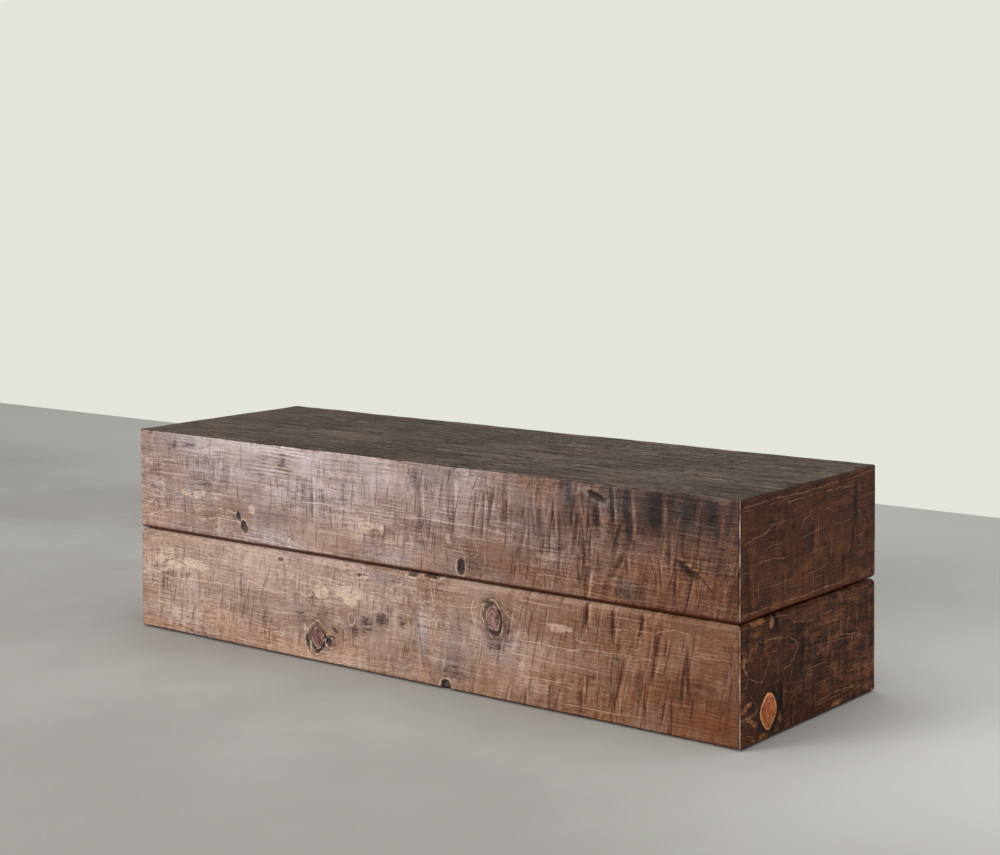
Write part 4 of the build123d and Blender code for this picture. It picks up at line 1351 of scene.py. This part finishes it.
def add_board(name, axes, distance, half_run, span, arrises, marks, number, top=False):
    """A mitred board. axes are the directions along it, up its face and out of it."""
    along, up, out = (Vector(axis) for axis in axes)
    low, high = span
    low_arris, high_arris, *end_arrises = arrises
    upper, at_end = high > middle_of_upper_course, half_run < half_length
    real_u, real_v = sum(along), sum(up)  # 1 along a real axis, and -1 against it
    columns = int(2 * half_run / (end_column_step if at_end else column_step))
    spots = np.linspace(-(half_run - arris), half_run - arris, columns)
    low_chamfer = groove_chamfer if upper else base_chamfer
    low_edge = LongEdge(low_arris, real_u * spots, low, 1, seam_chamfer if top else low_chamfer)
    high_edge = LongEdge(high_arris, real_u * spots, high, -1, seam_chamfer if top else groove_chamfer)
    reach = top_reach if top else wall_reach
    u, v, depth, kind, free = board_grid(spots, half_run, low_edge, high_edge, end_arrises, real_v, reach)
    mesh = board_mesh(name, axes, distance, u, v, depth, kind)

    store_values(mesh, "face_place", np.stack([u, v, 0 * u + number * grain_shift], axis=-1))
    store_marks(mesh, u, v, marks, (-half_run / mm, half_run / mm, low / mm, high / mm))
    high_half = v > (low + high) / 2
    lit_lip = high_half & (not top and not upper)  # the lower lip of the groove catches the light
    # Chamfers get a dark tint that deepens further in, painted shade in the groove and at the foot; the lower
    # lip of the groove catches the light and gets little of it.
    groove_share = np.where(lit_lip, lit_lip_groove, 1.0) * (kind == "chamfer")
    groove = groove_share * depth / np.where(high_half, high_edge.chamfer, low_edge.chamfer)
    right_arris_lightness = {"front_board_upper": 0.8, "front_board_lower": 0.3}.get(name, 0.0)
    busy, lean = saw_manner(u, upper, at_end, top)
    looks = {
        "free": free,
        "tone": board_tone(name, u, v),
        "orange": 1.0 if "right" in name else 0.0,
        # share of painted sheen in the colour, and of clear coat
        "coat_and_painted_sheen": coat_and_painted_sheen_share(name, u, v),
        "golden": golden_share(name, u, v),
        "cool": cool_share(name, u, v, marks),
        "contrast": contrast_share(name, u, real_u * u),
        "busy": busy,
        "lean": lean,
        "groove": groove,
        "edge": half_run - np.abs(u),
        "rim_distance": np.minimum(low_edge.distance(v, groove_spare), high_edge.distance(v, groove_spare)),
        "top_edge": np.minimum(low_edge.distance(v, no_arris), high_edge.distance(v, no_arris)),
        "arris_lightness": 0.2 + right_arris_lightness * (u > 0),
    }
    for label, values in looks.items():
        store_values(mesh, label, values + 0 * u)

    piece = bpy.data.objects.new(name + "_weathered", mesh)
    bpy.context.scene.collection.objects.link(piece)
    relief = {"Inward": tuple(-out), "Finish": top_stain_and_painted_shade if top else side_stain, **relief_sizes}
    apply_tree(piece, board_relief, relief)
    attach(piece, "root")
    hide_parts(name)


x, y, z = (1, 0, 0), (0, 1, 0), (0, 0, 1)
minus_x, minus_y = (-1, 0, 0), (0, -1, 0)
upper_span, lower_span = (wall_low.z, height), (lower_low.z, lower_high.z)
walls = (
    ("front", (x, z, minus_y), ("front_left", "front_right"), front_upper, front_lower),
    ("right", (y, z, x), ("front_right", "back_right"), right_upper, right_lower),
    ("back", (minus_x, z, y), ("back_right", "back_left"), back_upper, back_lower),
    ("left", (minus_y, z, minus_x), ("back_left", "front_left"), left_upper, left_lower),
)
for number, (side, axes, ends, upper_marks, lower_marks) in enumerate(walls):
    distance, half_run = (half_length, half_depth) if side in ("right", "left") else (half_depth, half_length)
    add_board(side + "_board_upper", axes, distance, half_run, upper_span,
              (None, side + "_top", *ends), upper_marks, 2 * number + 1)
    add_board(side + "_board_lower", axes, distance, half_run, lower_span,
              (None, None, *ends), lower_marks, 2 * number + 2)
add_board("top_board_front", (x, y, z), height, half_length, (-half_depth, 0.0),
          ("front_top", None, "left_top", "right_top"), top_front, 9, top=True)
add_board("top_board_back", (minus_x, minus_y, z), height, half_length, (-half_depth, 0.0),
          ("back_top", None, "right_top", "left_top"), top_back, 10, top=True)


# Finishes of the frame and fasteners inside.
def turned_place(graph, turn=(0, 0, 0)):
    """Object coordinates, turned so that the grain runs along the first axis."""
    coordinates = graph.add("ShaderNodeTexCoord")
    mapping = graph.add("ShaderNodeMapping")
    mapping.inputs["Rotation"].default_value = turn
    graph.feed(mapping.inputs["Vector"], coordinates.outputs["Object"])
    return mapping.outputs[0]


def plain_finish(graph, shader, base, uneven, unevenness, roughness, rise, depth):
    """A colour, a roughness that varies by an uneven value, and a fine bump."""
    graph.feed(shader.inputs["Base Color"], base)
    graph.feed(shader.inputs["Roughness"], graph.times_plus(uneven, unevenness, roughness))
    add_bump(graph, shader, rise, depth)


def plain_wood(name, turn, dark, light, contours, roughness):
    material, graph, shader = new_material(name)
    grain = graph.effect(growth_grain, place=turned_place(graph, turn), contours_per_metre=contours)
    tone = graph.total([(grain["Fibre"], 0.6), (grain["Cloud"], 0.4)], 0.5)
    base = graph.layers(graph.ramp(tone, ((0.25, dark), (0.75, light))), (grain["Contour"], 0.5, dark))
    plain_finish(graph, shader, base, grain["Fibre"], 0.2, roughness, grain["Fibre"], 0.2 * mm)
    return material


def layered_wood(name):
    """Plywood: veneers stacked along the sum of the three directions, so that they show on every side."""
    material, graph, shader = new_material(name)
    place = turned_place(graph)
    px, py, pz = graph.separate(place)
    across = graph.plus(graph.plus(px, py), pz)
    veneers = graph.step(graph.math("SINE", graph.times(across, 2600.0)), -0.3, 0.3)
    fibre = graph.noise(place, (30, 30, 300), 3)
    tone = graph.times_plus(veneers, 0.4, graph.times(fibre, 0.6))
    base = graph.ramp(tone, ((0.2, colour(150, 112, 74)), (0.8, colour(214, 184, 142))))
    plain_finish(graph, shader, base, fibre, 0.2, 0.55, tone, 0.1 * mm)
    return material


def plain_metal(name, tint, roughness):
    material, graph, shader = new_material(name)
    place = turned_place(graph)
    mottle = graph.noise(place, (240, 240, 240), 3)
    brushed = graph.noise(place, (60, 60, 1800))
    dull = (*(0.6 * value for value in tint[:3]), 1.0)
    plain_finish(graph, shader, graph.mix(mottle, dull, tint), mottle, 0.25, roughness, brushed, 0.03 * mm)
    shader.inputs["Metallic"].default_value = 1.0
    return material


def nylon(name):
    material, graph, shader = new_material(name)
    speckle = graph.noise(turned_place(graph), (900, 900, 900))
    base = graph.mix(speckle, colour(44, 43, 42), colour(62, 60, 58))
    plain_finish(graph, shader, base, speckle, 0.2, 0.4, speckle, 0.05 * mm)
    return material


quarter = math.radians(90)
pine = {"dark": colour(158, 118, 74), "light": colour(216, 182, 134), "contours": 60, "roughness": 0.6}
pine_long = plain_wood("frame_pine_lengthwise", (0, 0, 0), **pine)
pine_cross = plain_wood("frame_pine_crosswise", (0, 0, quarter), **pine)
pine_upright = plain_wood("frame_pine_upright", (0, quarter, 0), **pine)
beech = plain_wood("dowel_beech", (0, 0, 0), colour(176, 128, 92), colour(214, 170, 132), 200, 0.5)
plywood = layered_wood("tongue_plywood")
zinc = plain_metal("screw_zinc", colour(196, 198, 200), 0.3)
steel = plain_metal("nail_steel", colour(150, 150, 152), 0.35)
glide_nylon = nylon("glide_nylon")


def inner_finish(name):
    if name.endswith("_screws"):
        return zinc
    if name == "glide_nails":
        return steel
    if name == "glides":
        return glide_nylon
    if name == "frame_dowels":
        return beech
    if "tongue" in name:
        return plywood
    if "post" in name or "stud" in name:
        return pine_upright
    if name.startswith(("left", "right")) or "bearer" in name or "base_tie" in name:
        return pine_cross
    return pine_long


for name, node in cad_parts.items():
    if "_board_" in name and not name.endswith("_screws"):
        continue
    node.data.materials.clear()
    node.data.materials.append(inner_finish(name))


# Stage: a pale floor that fades into a pale background, with a painted pool of light right of the bench and
# painted shade in front of it.
background_colour = colour(227, 229, 219)
floor_painted_light_pool = colour(194, 192, 187)
floor_far = colour(172, 173, 168)
floor_middle = colour(157, 155, 150)
floor_mottle_and_painted_shade = colour(144, 140, 135)
floor_painted_light_pool_place = (1.5, 0.45, 0.0)
floor_end = 1.9  # the floor stops in a straight line this far behind the middle of the bench
floor_fade_start = 4.6
floor_fade_end = 6.5


def make_floor():
    material, graph, shader = new_material("pale_floor")
    place = turned_place(graph)
    cloud = graph.noise(place, (1.4, 1.4, 1.4), 4, 0.6)
    _, back, _ = graph.separate(place)
    from_middle = graph.vector("LENGTH", place, output=1)
    from_painted_light_pool = graph.vector("DISTANCE", place, floor_painted_light_pool_place, output=1)
    tint = graph.mix(graph.step(cloud, 0.3, 0.7), floor_mottle_and_painted_shade, floor_middle)
    # Painted shade on the floor in front of the bench, then lighter far behind it.
    tint = graph.mix(graph.step(back, -1.1, -0.5, 0.8, 0.0), tint, floor_mottle_and_painted_shade)
    tint = graph.mix(graph.step(back, 0.7, 1.7), tint, floor_far)
    # A painted pool of light on the floor to the right of the bench.
    tint = graph.mix(graph.step(from_painted_light_pool, 0.5, 1.55, 1.0, 0.0), tint, floor_painted_light_pool)
    graph.feed(shader.inputs["Base Color"], tint)
    shader.inputs["Roughness"].default_value = 0.85
    faded = graph.step(from_middle, floor_fade_start, floor_fade_end)
    clear = graph.add("ShaderNodeBsdfTransparent")
    blend = graph.fed(graph.add("ShaderNodeMixShader"), faded, shader.outputs[0], clear.outputs[0])
    graph.feed(material.node_tree.nodes["Material Output"].inputs["Surface"], blend)
    turns = np.linspace(0, math.tau, 96, False)
    ring = [(math.cos(a) * floor_fade_end, min(math.sin(a) * floor_fade_end, floor_end), 0) for a in turns]
    mesh = bpy.data.meshes.new("floor")
    mesh.from_pydata(ring, [], [list(range(len(ring)))])
    mesh.materials.append(material)
    floor = bpy.data.objects.new("floor", mesh)
    bpy.context.scene.collection.objects.link(floor)


def make_world(light_strength):
    """The background as the camera sees it at full strength, and a white light of its own strength."""
    world = bpy.data.worlds.new("studio")
    bpy.context.scene.world = world
    world.use_nodes = True
    graph = Graph(world.node_tree)
    shader = world.node_tree.nodes["Background"]
    path = graph.add("ShaderNodeLightPath")
    shown = graph.math("MAXIMUM", path.outputs["Is Camera Ray"], path.outputs["Is Transmission Ray"])
    graph.feed(shader.inputs["Color"], graph.mix(shown, colour(255, 255, 255), background_colour))
    graph.feed(shader.inputs["Strength"], graph.times_plus(shown, 1.0 - light_strength, light_strength))


def add_lamp(name, place, target, power, width=3.0, tall=2.4):
    lamp = bpy.data.lights.new(name, "AREA")
    lamp.shape = "RECTANGLE"
    lamp.size = width
    lamp.size_y = tall
    lamp.energy = power
    piece = bpy.data.objects.new(name, lamp)
    piece.location = place
    piece.rotation_euler = (Vector(target) - Vector(place)).to_track_quat("-Z", "Y").to_euler()
    piece.visible_camera = False
    bpy.context.scene.collection.objects.link(piece)


def make_camera(place, angles, lens, shift):
    """A camera at a place in metres, turned by yaw, pitch and roll in degrees."""
    yaw, pitch, roll = (math.radians(angle) for angle in angles)
    forward = Vector((-math.sin(yaw) * math.cos(pitch), math.cos(yaw) * math.cos(pitch), math.sin(pitch)))
    level = Vector((math.cos(yaw), math.sin(yaw), 0))
    upright = level.cross(forward)
    right = math.cos(roll) * level + math.sin(roll) * upright
    up = math.cos(roll) * upright - math.sin(roll) * level
    camera_data = bpy.data.cameras.new("camera")
    camera_data.sensor_width = 36.0
    camera_data.lens = lens
    camera_data.shift_y = shift
    camera = bpy.data.objects.new("camera", camera_data)
    turn = Matrix((right, up, -forward)).transposed().to_4x4()
    camera.matrix_world = Matrix.Translation(place) @ turn
    bpy.context.scene.collection.objects.link(camera)
    bpy.context.scene.camera = camera


make_floor()
make_world(light_strength=0.6)
add_lamp("key", place=(-2.8, -5.4, 2.4), target=(0.0, 0.0, 0.2), power=300)
add_lamp("overhead", place=(0.2, 0.0, 3.2), target=(0.0, 0.0, 0.0), power=50)
make_camera(place=(2.2968, -2.8477, 0.9364), angles=(38.330, -3.191, -0.347), lens=70.82, shift=-0.16)
bpy.context.scene.view_settings.view_transform = "Standard"
